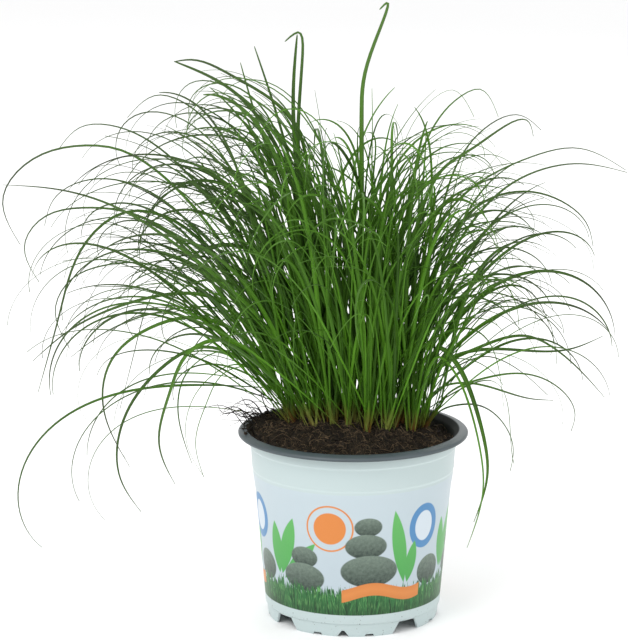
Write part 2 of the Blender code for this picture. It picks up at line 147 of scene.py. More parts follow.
class Shader:
    """One material and its nodes, round a Principled BSDF."""

    def __init__(self, name: str, **constants: float | Colour) -> None:
        """Makes the material.

        Args:
            name: The material's name.
            constants: Principled sockets that are the same all over, with _ for a space.
        """
        self.material = bpy.data.materials.new(name)
        self.material.use_nodes = True
        self.tree = self.material.node_tree
        self.surface = self.tree.nodes["Principled BSDF"]
        for key, value in constants.items():
            self.surface.inputs[key.replace("_", " ")].default_value = value

    def node(
        self,
        kind: str,
        settings: dict | None = None,
        sockets: dict | None = None,
        output: int | str = 0,
    ) -> Wire:
        """Adds a node.

        Args:
            kind: The node's type.
            settings: Its settings, set first.
            sockets: Values or links of its input sockets, by name or number.
            output: Which output to return.

        Returns:
            That output.
        """
        made = self.tree.nodes.new(kind)
        for key, value in (settings or {}).items():
            setattr(made, key, value)
        for key, value in (sockets or {}).items():
            self.feed(made.inputs[key], value)
        return Wire(self, made.outputs[output])

    def feed(self, socket: bpy.types.NodeSocket, value: "Wire | float | Colour") -> None:
        """Links a wire to a socket, or sets its value.

        Args:
            socket: An input socket.
            value: A wire, a number or a colour.
        """
        if isinstance(value, Wire):
            self.tree.links.new(value.socket, socket)
        else:
            socket.default_value = value

    def maths(self, operation: str, *inputs: "Wire | float", clamp: bool = False) -> Wire:
        """A Math node on these inputs."""
        settings = {"operation": operation, "use_clamp": clamp}
        return self.node("ShaderNodeMath", settings, dict(enumerate(inputs)))

    def mix(self, factor: "Wire | float", first: "Wire | Colour", second: "Wire | Colour") -> Wire:
        """Colours mixed: (1 - factor) * first + factor * second."""
        return self.node("ShaderNodeMix", {"data_type": "RGBA"}, {0: factor, 6: first, 7: second}, 2)

    def noise(self, vector: Wire, scale: float, detail: float = 2.0, rough: float = 0.5) -> Wire:
        """Fractal noise from 0 to 1."""
        sockets = {"Vector": vector, "Scale": scale, "Detail": detail, "Roughness": rough}
        return self.node("ShaderNodeTexNoise", {}, sockets)

    def place(self) -> Wire:
        """Object coordinates, in metres."""
        return self.node("ShaderNodeTexCoord", {}, {}, "Object")

    def parts(self, vector: Wire) -> tuple[Wire, ...]:
        """A vector's three numbers."""
        split = self.node("ShaderNodeSeparateXYZ", {}, {0: vector}).socket.node
        return tuple(Wire(self, output) for output in split.outputs)

    def around(self) -> tuple[Wire, ...]:
        """The two numbers of the piece's own UV map."""
        return self.parts(self.node("ShaderNodeUVMap", {"uv_map": "around"}))[:2]

    def trait(self, name: str) -> Wire:
        """A number stored on the mesh."""
        return self.node("ShaderNodeAttribute", {"attribute_name": name}, {}, "Fac")

    def vector(self, x: "Wire | float", y: "Wire | float", z: "Wire | float" = 0.0) -> Wire:
        """A vector of three numbers."""
        return self.node("ShaderNodeCombineXYZ", {}, {0: x, 1: y, 2: z})

    def bump(self, height: Wire, distance: float, strength: float = 1.0) -> None:
        """Feeds a Bump node into the normal."""
        sockets = {"Height": height, "Distance": distance, "Strength": strength}
        self.set(Normal=self.node("ShaderNodeBump", {}, sockets))

    def set(self, **links: Wire) -> None:
        """Links wires to the Principled BSDF's sockets, with _ for a space."""
        for key, wire in links.items():
            self.feed(self.surface.inputs[key.replace("_", " ")], wire)


@dataclass(frozen=True)
class LeafFinish:
    """Living leaf: mid to deep green, veined lengthways, lightened low down by painted light,
    pale or reddish where it leaves the compost and dull towards the tip."""

    deep: Colour = linear(15, 44, 5)
    fresh: Colour = linear(84, 138, 28)
    # Paler midrib and vein streaks, partly real and partly a painted highlight.
    rib_and_highlight: Colour = linear(128, 172, 62)
    tip: Colour = linear(60, 68, 50)
    pale_base: Colour = linear(158, 152, 84)
    red_base: Colour = linear(108, 54, 30)
    by_leaf: float = 0.95
    by_patch: float = 0.5
    # Painted light: how much lighter a leaf is painted near the compost, against the shade low in the
    # tuft.
    foot_painted_light: float = 0.42
    by_length: float = 0.6
    darkness: float = 0.48
    fading: tuple[float, float] = (0.76, 0.5)
    base_end: tuple[float, float] = (0.075, 0.13)
    red_from: tuple[float, float] = (0.64, 0.2)

    def material(self) -> bpy.types.Material:
        """Greens by leaf, painted lighter low down, a paler base, and a midrib and vein streaks that are
        paler, partly real and partly a painted highlight; veins as noise drawn out along the leaf.

        Returns:
            The material. It reads the UV map, and the traits tone, blush, rise and dull.
        """
        shader = Shader("living_leaf", Specular_IOR_Level=0.22)
        across, along = shader.around()
        tone, blush, dull = (shader.trait(name) for name in ("tone", "blush", "dull"))
        low = shader.trait("rise")
        veins = shader.noise(shader.vector(across * 9.0 + tone * 40.0, along * 3.0), 1.6, 3.0)
        patches = shader.noise(shader.place(), 38.0, 2.0)
        lightness = tone * self.by_leaf + patches * self.by_patch - self.darkness
        # Painted light: lighter where the trait rise is low, near the compost.
        lightness = lightness + (1.0 - low) * self.foot_painted_light + along * self.by_length
        green = shader.mix(lightness.clamped(), self.deep, self.fresh)
        # The midrib and the light vein streaks: partly the leaf's paler rib, partly a painted highlight.
        middle = (1.0 - shader.maths("ABSOLUTE", across - 0.5) * 7.0).clamped()
        green = shader.mix(middle * 0.22 + (veins - 0.5) * 0.25, green, self.rib_and_highlight)
        faded = (along + dull * 0.16).above(*self.fading) * (0.6 + tone * 0.38) * dull
        green = shader.mix(faded, green, self.tip)
        scales = shader.noise(shader.place(), 420.0, 3.0).above(0.56, 0.2)
        red = (blush.above(*self.red_from) + scales * 0.4).clamped()
        base = shader.mix(red, self.pale_base, self.red_base)
        near_soil = (1.0 - low.above(*self.base_end)) * (0.45 + blush * 0.5)
        shader.set(Base_Color=shader.mix(near_soil, green, base), Roughness=0.42 + veins * 0.16)
        shader.bump(veins, 0.12 * MM, 0.6)
        return shader.material


@dataclass(frozen=True)
class CompostFinish:
    """Moist peat and coir: nearly black brown with rusty flecks."""

    # Dark peat, and painted shade in the bed's hollows.
    dark_and_hollow_shade: Colour = linear(12, 10, 7)
    brown: Colour = linear(46, 40, 30)
    rust: Colour = linear(78, 60, 43)
    tan: Colour = linear(122, 103, 80)

    def bed(self) -> bpy.types.Material:
        """The ground: two scales of noise from dark to brown, with grains in the bump. The large noise
        is also the bump's height, so its low places are dark: the compost's own tone and painted shade.

        Returns:
            The material. It reads Object coordinates.
        """
        shader = Shader("compost_bed", Roughness=0.92, Specular_IOR_Level=0.25)
        place = shader.place()
        clods = shader.noise(place, 260.0, 5.0, 0.6)
        grains = shader.noise(place, 1500.0, 4.0, 0.65)
        # Dark where the clods are low in the bump: partly the compost's tone, partly painted shade in
        # the hollows.
        colour = shader.mix(clods.above(0.5, 0.2), self.dark_and_hollow_shade, self.brown)
        colour = shader.mix(grains.above(0.66, 0.1) * 0.7, colour, self.rust)
        shader.set(Base_Color=colour)
        shader.bump(clods * 0.6 + grains * 0.4, 1.2 * MM, 0.9)
        return shader.material

    def loose(self) -> bpy.types.Material:
        """Fibres and crumbs: dark to rusty by piece.

        Returns:
            The material. It reads the trait tone and Object coordinates.
        """
        shader = Shader("compost_loose", Roughness=0.88, Specular_IOR_Level=0.25)
        tone = shader.trait("tone")
        colour = shader.mix(tone.above(0.55, 0.5), self.dark_and_hollow_shade, self.brown)
        colour = shader.mix(tone.above(0.84, 0.22), colour, self.tan)
        grains = shader.noise(shader.place(), 1800.0, 2.0)
        shader.set(Base_Color=shader.mix(grains.above(0.6, 0.3) * 0.4, colour, self.rust))
        shader.bump(grains, 0.2 * MM, 0.6)
        return shader.material


@dataclass(frozen=True)
class RimFinish:
    """Dark grey moulded plastic of the lip and the inside, with painted shade that makes the inside
    nearly black.
    """

    grey: Colour = linear(60, 69, 73)
    light: Colour = linear(82, 94, 99)
    # Painted shade: the nearly black colour inside the lip.
    inside: Colour = linear(15, 19, 19)
    dust: Colour = linear(58, 48, 40)
    lip_inside: float = 55.3 * MM

    def material(self) -> bpy.types.Material:
        """Grey with slight clouding, soil dust in the low places and a fine moulded grain. Inside the
        lip it is painted nearly black: painted shade inside the pot.

        Returns:
            The material. It reads Object coordinates.
        """
        shader = Shader("rim_plastic", Specular_IOR_Level=0.5)
        place = shader.place()
        x, y, _ = shader.parts(place)
        x = x - float(POT_AXIS[0])
        # within is 1 inside the lip: the mask of the painted shade there.
        within = 1.0 - ((x * x + y * y) ** 0.5).above(self.lip_inside, 0.6 * MM)
        clouds = shader.noise(place, 90.0, 3.0)
        colour = shader.mix(clouds * 0.5, self.grey, self.light)
        dusty = shader.noise(place, 420.0, 5.0, 0.7).above(0.66, 0.08)
        colour = shader.mix(dusty * 0.35, colour, self.dust)
        # Painted shade: inside the lip the colour goes nearly black.
        colour = shader.mix(within, colour, self.inside)
        shader.set(Base_Color=colour, Roughness=0.32 + clouds * 0.14 + within * 0.42)
        shader.bump(shader.noise(place, 2600.0, 2.0), 0.05 * MM, 0.35)
        return shader.material


@dataclass
class Canvas:
    """The pot's print in the making: its coordinates in millimetres, and what is painted so far."""

    shader: Shader
    x: Wire
    y: Wire
    paint: Wire

    def lay(self, mask: Wire, colour: Wire | Colour) -> None:
        """Paints a colour where the mask is 1."""
        self.paint = self.shader.mix(mask, self.paint, colour)

    def ellipse(self, cx: float, cy: float, rx: float, ry: float) -> Wire:
        """1 inside an ellipse: (1 - sqrt(((x-cx)/rx)^2 + ((y-cy)/ry)^2)) * min(rx, ry) over 0.

        Args:
            cx: Its centre across.
            cy: Its centre's height.
            rx: Half its width.
            ry: Half its height.

        Returns:
            The mask, with a soft edge.
        """
        across, up = (self.x - cx) / rx, (self.y - cy) / ry
        reach = (across * across + up * up) ** 0.5
        return ((1.0 - reach) * min(rx, ry)).above(0.0, 0.4)

    def leaf(self, foot: tuple[float, float], tip: tuple[float, float], belly: float) -> Wire:
        """1 inside a pointed leaf: where two equal circles through its ends overlap.

        Args:
            foot: Its lower end.
            tip: Its upper end.
            belly: Half its width.

        Returns:
            The mask.
        """
        length = math.dist(foot, tip)
        radius = (length**2 / 4 + belly**2) / (2 * belly)
        away = radius - belly
        nx, ny = (tip[1] - foot[1]) / length, (foot[0] - tip[0]) / length
        cx, cy = (foot[0] + tip[0]) / 2, (foot[1] + tip[1]) / 2
        left = self.ellipse(cx + nx * away, cy + ny * away, radius, radius)
        return left * self.ellipse(cx - nx * away, cy - ny * away, radius, radius)


@dataclass(frozen=True)
class PrintFinish:
    """The pale outside of the pot, and the plain meadow design printed on it. Its coordinates are
    millimetres: x across one of three repeats round the pot, y above the floor."""

    plastic: Colour = linear(183, 197, 197)
    cloud: Colour = linear(175, 191, 193)
    # Painted highlight: the light line along each moulded bead.
    bead_highlight: Colour = linear(208, 221, 222)
    speck: Colour = linear(40, 34, 30)
    low_sky: Colour = linear(174, 187, 195)
    high_sky: Colour = linear(182, 195, 201)
    orange: Colour = linear(206, 126, 62)
    blue: Colour = linear(78, 130, 176)
    pale: Colour = linear(198, 208, 216)
    leaf_low: Colour = linear(50, 136, 64)
    leaf_high: Colour = linear(96, 172, 92)
    stone_dark: Colour = linear(36, 50, 44)
    stone_light: Colour = linear(112, 128, 116)
    grass_deep: Colour = linear(16, 48, 26)
    grass: Colour = linear(54, 122, 64)
    grass_light: Colour = linear(122, 182, 106)
    grass_foot: Colour = linear(24, 40, 26)
    ribbon_middle: Colour = linear(206, 130, 68)
    ribbon_edge: Colour = linear(188, 108, 52)
    repeats: int = 3
    width: float = 104.7
    bottom: float = 12.0
    top: float = 77.5
    # Heights of the moulded beads, where a painted highlight runs.
    beads: tuple[float, ...] = (79.3, 91.3)
    spray_leaves: tuple = (
        ((-45.0, 30.0), (-47.0, 58.0), 4.2),
        ((-43.0, 30.0), (-33.0, 62.0), 4.6),
        ((-41.0, 28.0), (-20.0, 50.0), 3.6),
        ((29.0, 28.0), (22.0, 68.0), 4.0),
        ((31.0, 28.0), (35.0, 50.0), 3.4),
    )
    heaps: tuple = (
        (8.0, 60.0, 7.2, 5.0),
        (7.0, 49.5, 11.0, 6.6),
        (9.0, 36.0, 15.5, 8.6),
        (-27.0, 42.0, 8.0, 5.6),
        (-28.0, 31.0, 12.5, 7.6),
        (47.0, 32.0, 9.0, 8.0),
        (-57.7, 32.0, 9.0, 8.0),
    )

    def material(self) -> bpy.types.Material:
        """Paints the design's layers from back to front over a pale sky, between two heights.

        Returns:
            The material. It reads the UV map: turns round the pot, and height.
        """
        shader = Shader("printed_plastic", Specular_IOR_Level=0.36)
        turn, y = shader.around()
        x = (shader.maths("FRACT", turn * float(self.repeats) + 0.5) - 0.5) * self.width
        place = shader.place()
        clouds = shader.noise(place, 45.0, 3.0)
        colour = shader.mix(clouds * 0.35, self.plastic, self.cloud)
        # Painted highlight: a light line along each moulded bead, mixed over the plastic.
        for height in self.beads:
            off = shader.maths("ABSOLUTE", y - height)
            colour = shader.mix((0.5 - off).above(0.0, 0.8) * 0.35, colour, self.bead_highlight)
        canvas = Canvas(shader, x, y, shader.mix(y.above(45.0, 60.0), self.low_sky, self.high_sky))
        for layer in (self.discs, self.sprays, self.stones, self.meadow, self.ribbon):
            layer(canvas)
        inside = y.above(self.bottom, 0.25) * (1.0 - y.above(self.top, 0.25))
        colour = shader.mix(inside, colour, canvas.paint)
        specks = shader.noise(place, 900.0, 1.0).above(0.745, 0.03) * (1.0 - y.above(14.0, 4.0))
        colour = shader.mix(specks * 0.9, colour, self.speck)
        shader.set(Base_Color=colour, Roughness=0.3 + clouds * 0.1)
        shader.bump(shader.noise(place, 1800.0, 2.0), 0.03 * MM, 0.3)
        return shader.material

    def discs(self, canvas: Canvas) -> None:
        """An orange sun with a thin ring round it, and a light blue ring.

        Args:
            canvas: What is painted on.
        """
        sun = canvas.ellipse(-12.0, 59.0, 8.5, 8.5)
        halo = canvas.ellipse(-12.0, 59.0, 12.5, 12.5) - canvas.ellipse(-12.0, 59.0, 11.6, 11.6)
        canvas.lay((sun + halo).clamped(), self.orange)
        core = canvas.ellipse(41.0, 57.0, 6.2, 8.0)
        canvas.lay(canvas.ellipse(41.0, 57.0, 10.0, 12.0) - core, self.blue)
        canvas.lay(core, self.pale)

    def sprays(self, canvas: Canvas) -> None:
        """Bright green leaves in two sprays.

        Args:
            canvas: What is painted on.
        """
        shade = canvas.shader.mix((canvas.y / 70.0).clamped(), self.leaf_low, self.leaf_high)
        for foot, tip, belly in self.spray_leaves:
            canvas.lay(canvas.leaf(foot, tip, belly), shade)

    def stones(self, canvas: Canvas) -> None:
        """Heaps of grey-green river stones, mottled and shaded below.

        Args:
            canvas: What is painted on.
        """
        shader = canvas.shader
        mottle = shader.noise(shader.vector(canvas.x, canvas.y), 0.55, 5.0, 0.65)
        for cx, cy, rx, ry in self.heaps:
            light = ((canvas.y - cy) / (2.4 * ry) + mottle * 1.1 - 0.05).clamped()
            colour = shader.mix(light, self.stone_dark, self.stone_light)
            canvas.lay(canvas.ellipse(cx, cy, rx, ry), colour)

    def meadow(self, canvas: Canvas) -> None:
        """Upright grass: its top edge is noise of x, and its streaks are noise drawn out upwards.

        Args:
            canvas: What is painted on.
        """
        shader, x, y = canvas.shader, canvas.x, canvas.y
        lean = x + (y - self.bottom) * (shader.noise(shader.vector(x, 3.0), 0.16) - 0.5) * 1.6
        blades = shader.noise(shader.vector(lean, y * 0.05), 0.9, 3.0, 0.6)
        fine = shader.noise(shader.vector(lean, y * 0.08), 2.6, 2.0, 0.5)
        edge = shader.noise(shader.vector(lean, 7.0), 0.75, 3.0, 0.75) * 26.0 + 13.0
        colour = shader.mix(blades.above(0.5, 0.34), self.grass_deep, self.grass)
        colour = shader.mix(fine.above(0.6, 0.16) * 0.55, colour, self.grass_light)
        colour = shader.mix((1.0 - y.above(16.0, 9.0)) * 0.5, colour, self.grass_foot)
        canvas.lay((edge - y).above(0.0, 0.7), colour)

    def ribbon(self, canvas: Canvas) -> None:
        """A plain orange ribbon that waves across the meadow: |y - 24 - 2.2 sin(x / 7)| under 3.4.

        Args:
            canvas: What is painted on.
        """
        shader = canvas.shader
        middle = shader.maths("SINE", canvas.x / 7.0) * 2.2 + 24.0
        off = shader.maths("ABSOLUTE", canvas.y - middle)
        ends = shader.maths("ABSOLUTE", canvas.x - 17.0)
        band = (3.4 - off).above(0.0, 0.3) * (23.0 - ends).above(0.0, 0.3)
        shade = shader.mix((off / 3.4).clamped() * 0.4, self.ribbon_middle, self.ribbon_edge)
        canvas.lay(band, shade)


@dataclass(frozen=True)
class FloorFinish:
    """The plain pale floor."""

    white: Colour = linear(246, 246, 246)

    def material(self) -> bpy.types.Material:
        """Nearly white, with a trace of unevenness.

        Returns:
            The material.
        """
        shader = Shader("pale_floor", Roughness=0.85, Specular_IOR_Level=0.2)
        clouds = shader.noise(shader.place(), 3.0, 2.0)
        shader.set(Base_Color=shader.mix(clouds * 0.2, self.white, linear(240, 241, 242)))
        return shader.material


# Surfaces


@dataclass
class Surface:
    """Points, quads and what is stored on them, gathered from grids."""

    points: np.ndarray
    quads: np.ndarray
    uv: np.ndarray
    traits: dict[str, np.ndarray] = field(default_factory=dict)
    zones: np.ndarray | None = None

    @staticmethod
    def joined(parts: list["Surface"]) -> "Surface":
        """One surface of several that hold the same traits.

        Args:
            parts: The surfaces.

        Returns:
            Their union, with the quads renumbered.
        """
        starts = np.cumsum([0] + [len(part.points) for part in parts[:-1]])
        quads = np.concatenate([part.quads + start for part, start in zip(parts, starts)])
        traits = {key: np.concatenate([part.traits[key] for part in parts]) for key in parts[0].traits}
        points = np.concatenate([part.points for part in parts])
        return Surface(points, quads, np.concatenate([part.uv for part in parts]), traits)

    def to_object(
        self, name: str, materials: list[bpy.types.Material], sharp: float, weld: bool = False
    ) -> bpy.types.Object:
        """Makes the mesh and its object.

        Args:
            name: The piece's name.
            materials: Its materials, in the order of the zones.
            sharp: Edges over this angle in degrees stay sharp.
            weld: Merges points that coincide, as at a pole or a seam.

        Returns:
            The object, at the origin.
        """
        mesh = bpy.data.meshes.new(name)
        count = len(self.quads)
        mesh.vertices.add(len(self.points))
        mesh.vertices.foreach_set("co", np.asarray(self.points, np.float32).ravel())
        mesh.loops.add(4 * count)
        mesh.loops.foreach_set("vertex_index", np.asarray(self.quads, np.int32).ravel())
        mesh.polygons.add(count)
        mesh.polygons.foreach_set("loop_start", np.arange(0, 4 * count, 4, dtype=np.int32))
        if self.zones is not None:
            mesh.polygons.foreach_set("material_index", np.asarray(self.zones, np.int32))
        mesh.update(calc_edges=True)
        layer = mesh.uv_layers.new(name="around")
        layer.data.foreach_set("uv", np.asarray(self.uv, np.float32).ravel())
        for key, values in self.traits.items():
            stored = mesh.attributes.new(key, "FLOAT", "POINT")
            stored.data.foreach_set("value", np.asarray(values, np.float32))
        self.close(mesh, weld)
        mesh.shade_smooth()
        mesh.set_sharp_from_angle(angle=math.radians(sharp))
        for material in materials:
            mesh.materials.append(material)
        made = bpy.data.objects.new(name, mesh)
        bpy.context.scene.collection.objects.link(made)
        return made

    @staticmethod
    def close(mesh: bpy.types.Mesh, weld: bool) -> None:
        """Turns the faces outwards, after merging doubles if asked.

        Args:
            mesh: The mesh, changed in place.
            weld: Whether to merge doubles.
        """
        bm = bmesh.new()
        bm.from_mesh(mesh)
        if weld:
            bmesh.ops.remove_doubles(bm, verts=bm.verts, dist=WELD_DISTANCE)
            bmesh.ops.dissolve_degenerate(bm, edges=bm.edges, dist=WELD_DISTANCE / 2)
        bmesh.ops.recalc_face_normals(bm, faces=bm.faces)
        bm.to_mesh(mesh)
        bm.free()


def wall_quads(rows: int, columns: int) -> np.ndarray:
    """Quads of a grid that closes on itself across: [r, c], [r, c+1], [r+1, c+1], [r+1, c].

    Args:
        rows: Rows of points.
        columns: Points in a row.

    Returns:
        Four point numbers for each quad.
    """
    row, column = np.meshgrid(np.arange(rows - 1), np.arange(columns), indexing="ij")
    after = (column + 1) % columns
    corners = ((row, column), (row, after), (row + 1, after), (row + 1, column))
    return np.stack([r * columns + c for r, c in corners], axis=-1).reshape(-1, 4)


def tube_quads(count: int, rings: int, corners: int) -> np.ndarray:
    """Quads of closed tubes on points numbered [tube, ring, corner], with flat ends.

    Args:
        count: How many tubes.
        rings: Rings along each.
        corners: Corners of a ring, an even number.

    Returns:
        Quads, four point numbers each: the wall, then strips across both ends.
    """
    i = np.arange(corners // 2 - 1)
    cap = np.stack([i, i + 1, corners - 2 - i, corners - 1 - i], axis=-1)
    one = np.concatenate([wall_quads(rings, corners), cap[:, ::-1], cap + (rings - 1) * corners])
    return (one[None] + (np.arange(count) * rings * corners)[:, None, None]).reshape(-1, 4)


def tubes(lines: np.ndarray, radii: np.ndarray, corners: int, traits: dict[str, np.ndarray]) -> Surface:
    """Round tubes along centre lines: P = line + r (cos a * side + sin a * up).

    Args:
        lines: Centre lines [tube, ring, xyz].
        radii: Radius at each ring [tube, ring].
        corners: Corners of a ring.
        traits: One number per tube.

    Returns:
        The closed tubes.
    """
    count, rings, _ = lines.shape
    along = np.gradient(lines, axis=1)
    along /= np.linalg.norm(along, axis=2, keepdims=True)
    helper = np.where(np.abs(along[..., 2:3]) > 0.9, [[[1.0, 0, 0]]], [[[0, 0, 1.0]]])
    side = np.cross(along, helper)
    side /= np.linalg.norm(side, axis=2, keepdims=True)
    up = np.cross(side, along)
    angle = 2 * np.pi * np.arange(corners) / corners
    spokes = np.cos(angle)[:, None] * side[:, :, None] + np.sin(angle)[:, None] * up[:, :, None]
    points = (lines[:, :, None] + radii[:, :, None, None] * spokes).reshape(-1, 3)
    quads = tube_quads(count, rings, corners)
    spread = {key: np.repeat(value, rings * corners) for key, value in traits.items()}
    share = np.broadcast_to(np.linspace(0, 1, rings)[None, :, None], (count, rings, corners)).ravel()
    across = np.broadcast_to(np.arange(corners) / corners, (count, rings, corners)).ravel()
    uv = np.stack([across, share], axis=-1)[quads.ravel()]
    return Surface(points, quads, uv, spread)


class Lattice:
    """Smooth value noise on a plane."""

    def __init__(self, seed: int) -> None:
        """Draws the lattice's values."""
        self.values = np.random.default_rng(seed).random((64, 64))

    def at(self, x: np.ndarray, y: np.ndarray) -> np.ndarray:
        """Noise from 0 to 1: lattice values weighted by s(t) = t^2 (3 - 2 t) across each cell.

        Args:
            x: Across, in cells.
            y: Along, in cells.

        Returns:
            The noise at each point.
        """
        i, j = np.floor(x).astype(int), np.floor(y).astype(int)
        s, t = x - i, y - j
        s, t = s * s * (3 - 2 * s), t * t * (3 - 2 * t)
        v = self.values
        low = v[i % 64, j % 64] * (1 - s) + v[(i + 1) % 64, j % 64] * s
        high = v[i % 64, (j + 1) % 64] * (1 - s) + v[(i + 1) % 64, (j + 1) % 64] * s
        return low * (1 - t) + high * t


# The tuft


@dataclass
class Leader:
    """A leaf whose course is given: root, heading, width, and (distance out, height) stops."""

    root: tuple[float, float]
    heading: float
    width: float
    stops: tuple[tuple[float, float], ...]


# Millimetres and degrees: heading 0 is +X and 180 is -X.
LEADERS = (
    Leader((-3, 8), 8, 3.4, ((7, 213), (7, 268), (12, 296), (19, 320), (16, 317))),
    Leader((-10, 4), 178, 3.4, ((14, 191), (20, 245), (21, 276), (19, 305))),
    Leader((-5, 18), 172, 3.0, ((17, 187), (24, 243), (22, 288), (24, 304), (31, 299))),
    Leader((-14, 15), 176, 3.0, ((10, 194), (24, 241), (50, 275), (79, 289))),
    Leader((-8, 26), 184, 2.6, ((15, 205), (24, 258), (56, 282), (77, 290), (85, 289))),
    Leader((-2, 30), 175, 2.4, ((26, 214), (41, 268), (50, 295))),
    Leader((-12, 33), 183, 2.2, ((21, 206), (40, 262), (47, 287))),
    Leader((-16, -1), 186, 3.2, ((31, 157), (71, 195), (99, 215), (134, 228), (163, 231))),
    Leader((-24, 7), 178, 3.0, ((27, 147), (49, 167), (69, 169), (92, 164), (124, 149), (144, 132))),
    Leader((-26, 16), 186, 3.0, ((38, 176), (72, 210), (90, 213), (115, 194), (126, 164), (139, 118))),
    Leader((-31, 2), 192, 3.0, ((17, 135), (38, 148), (54, 143), (65, 122), (71, 93), (63, 72))),
    Leader((-33, 14), 174, 2.8, ((16, 135), (48, 154), (74, 148), (95, 130), (100, 106), (86, 72))),
    Leader((-29, 23), 168, 2.8, ((26, 126), (51, 135), (75, 122), (97, 90), (98, 59), (87, 42))),
    Leader(
        (31, -3), -14, 3.6,
        ((7, 131), (15, 144), (21, 139), (30, 123), (37, 101), (40, 79), (33, 52)),
    ),
    Leader((16, 4), 6, 2.4, ((24, 167), (46, 208), (64, 226), (84, 235), (101, 237), (126, 232))),
    Leader((12, 16), -4, 2.0, ((28, 199), (51, 226), (79, 241), (104, 246), (128, 235))),
    Leader((8, -3), 4, 3.4, ((24, 205), (39, 238), (54, 248), (82, 260), (84, 253))),
    Leader((22, 19), 2, 2.6, ((18, 169), (48, 217), (70, 221), (86, 216), (100, 203), (103, 192))),
    Leader((35, 14), 10, 2.6, ((11, 130), (31, 137), (82, 136), (98, 142))),
    Leader((29, 24), 14, 2.4, ((17, 125), (38, 135), (65, 140), (81, 132), (109, 104))),
    Leader((37, 7), -8, 1.8, ((14, 118), (32, 126), (47, 129), (66, 125), (79, 108), (77, 99))),
    Leader((4, 25), 8, 2.2, ((21, 189), (38, 254), (53, 270), (61, 273), (72, 258))),
    Leader((18, 29), 5, 2.0, ((27, 204), (50, 252), (69, 259), (80, 251))),
    Leader((-18, 27), 178, 2.2, ((30, 194), (60, 258), (72, 267), (84, 270), (100, 258))),
    Leader((-21, -6), 184, 2.2, ((32, 185), (71, 243), (103, 261), (118, 260), (129, 249))),
    Leader(
        (-20, 21), 172, 2.6,
        ((40, 178), (75, 222), (106, 241), (124, 242), (152, 233), (167, 212), (158, 188)),
    ),
    Leader((-24, 29), 180, 2.2, ((36, 161), (72, 212), (105, 226), (120, 224), (133, 215), (138, 201))),
    Leader(
        (-31, 8), 190, 2.4,
        ((28, 162), (69, 207), (86, 215), (109, 218), (130, 213), (139, 200), (132, 180)),
    ),
)


class Habit(Enum):
    """How a finer leaf grows."""

    STRAY = "beside a stout leaf"
    OVER = "arching over on its own"
    CREST = "upright, with its end bent over"


@dataclass(frozen=True)
class Growth:
    """What a leaf's shape is drawn from, in degrees and millimetres. spread, turn and jitter are
    standard deviations. A third number is added to the upper limit of a leaf that heads sideways."""

    spread: float
    turn: float
    twist: float
    lean: tuple[float, float, float]
    jitter: float
    droop: tuple[float, float, float]
    bend: tuple[float, float]
    length: tuple[float, float, float]
    width: tuple[float, float]


@dataclass(frozen=True)
class Straying:
    """How far a stray departs from the stout leaf that it grows beside: degrees, millimetres and
    shares of that leaf's size."""

    turn: float = 11.0
    tilt: float = 4.5
    scale: tuple[float, float] = (0.6, 1.02)
    drift: float = 9.0
    sag: tuple[float, float] = (-4.0, 16.0)
    width: tuple[float, float] = (0.4, 0.85)
    twist: float = 0.6


@dataclass
class Leaf:
    """A leaf's centre line, its blade's heading along it, its width and its twist."""

    line: np.ndarray
    headings: np.ndarray
    width: float
    twist: float


@dataclass
class Shoot:
    """A stem base in its sheath, its stout leaves, and the finer ones beside them."""

    base: np.ndarray
    heading: float
    lean: float
    sheath: float
    leaves: list[Leaf] = field(default_factory=list)
    finer: list[Leaf] = field(default_factory=list)

    def axis_point(self, share: float) -> np.ndarray:
        """The sheath's axis at this share of its height: it leans by a constant slope.

        Args:
            share: 0 at the compost, 1 at the sheath's top.

        Returns:
            The point.
        """
        out = math.tan(math.radians(self.lean)) * self.sheath * share
        turn = math.radians(self.heading)
        return self.base + np.array([out * math.cos(turn), out * math.sin(turn), self.sheath * share])


def soil_height(x: np.ndarray | float, y: np.ndarray | float) -> np.ndarray | float:
    """The compost's even top: edge + mound (1 - (x^2 + y^2) / R^2) + slope x."""
    return SOIL_EDGE_HEIGHT + SOIL_MOUND * (1 - (x * x + y * y) / SOIL_RADIUS**2) + SOIL_SLOPE * x


def half_width(share: np.ndarray, width: np.ndarray | float) -> np.ndarray:
    """Half the blade: width / 2 * (0.5 + 0.5 min(share / 0.25, 1)) * (1 - share)^0.7."""
    return 0.5 * width * (0.5 + 0.5 * np.clip(share / 0.25, 0, 1)) * (1 - share) ** 0.7


def spline_through(stops: tuple[tuple[float, float], ...]) -> np.ndarray:
    """A natural cubic spline by chord length.

    Args:
        stops: (out, up) points.

    Returns:
        FINE_STEPS + 1 points at even steps, found from the spline's second derivatives M, which
        solve h0 M0 + 2 (h0 + h1) M1 + h1 M2 = 6 (slope1 - slope0).
    """
    knots = np.array(stops, float)
    spans = np.linalg.norm(np.diff(knots, axis=0), axis=1)
    at_knots = np.concatenate([[0.0], np.cumsum(spans)])
    count = len(knots)
    system = np.eye(count)
    known = np.zeros((count, 2))
    for i in range(1, count - 1):
        system[i, i - 1 : i + 2] = spans[i - 1], 2 * (spans[i - 1] + spans[i]), spans[i]
        slopes = np.diff(knots[i - 1 : i + 2], axis=0) / spans[i - 1 : i + 1, None]
        known[i] = 6 * (slopes[1] - slopes[0])
    bending = np.linalg.solve(system, known)
    steps = np.linspace(0.0, at_knots[-1], FINE_STEPS + 1)
    i = np.clip(np.searchsorted(at_knots, steps, side="right") - 1, 0, count - 2)
    span = spans[i, None]
    before = (at_knots[i + 1] - steps)[:, None]
    after = (steps - at_knots[i])[:, None]
    cubic = (bending[i] * before**3 + bending[i + 1] * after**3) / (6 * span)
    start = (knots[i] / span - bending[i] * span / 6) * before
    end = (knots[i + 1] / span - bending[i + 1] * span / 6) * after
    return cubic + start + end


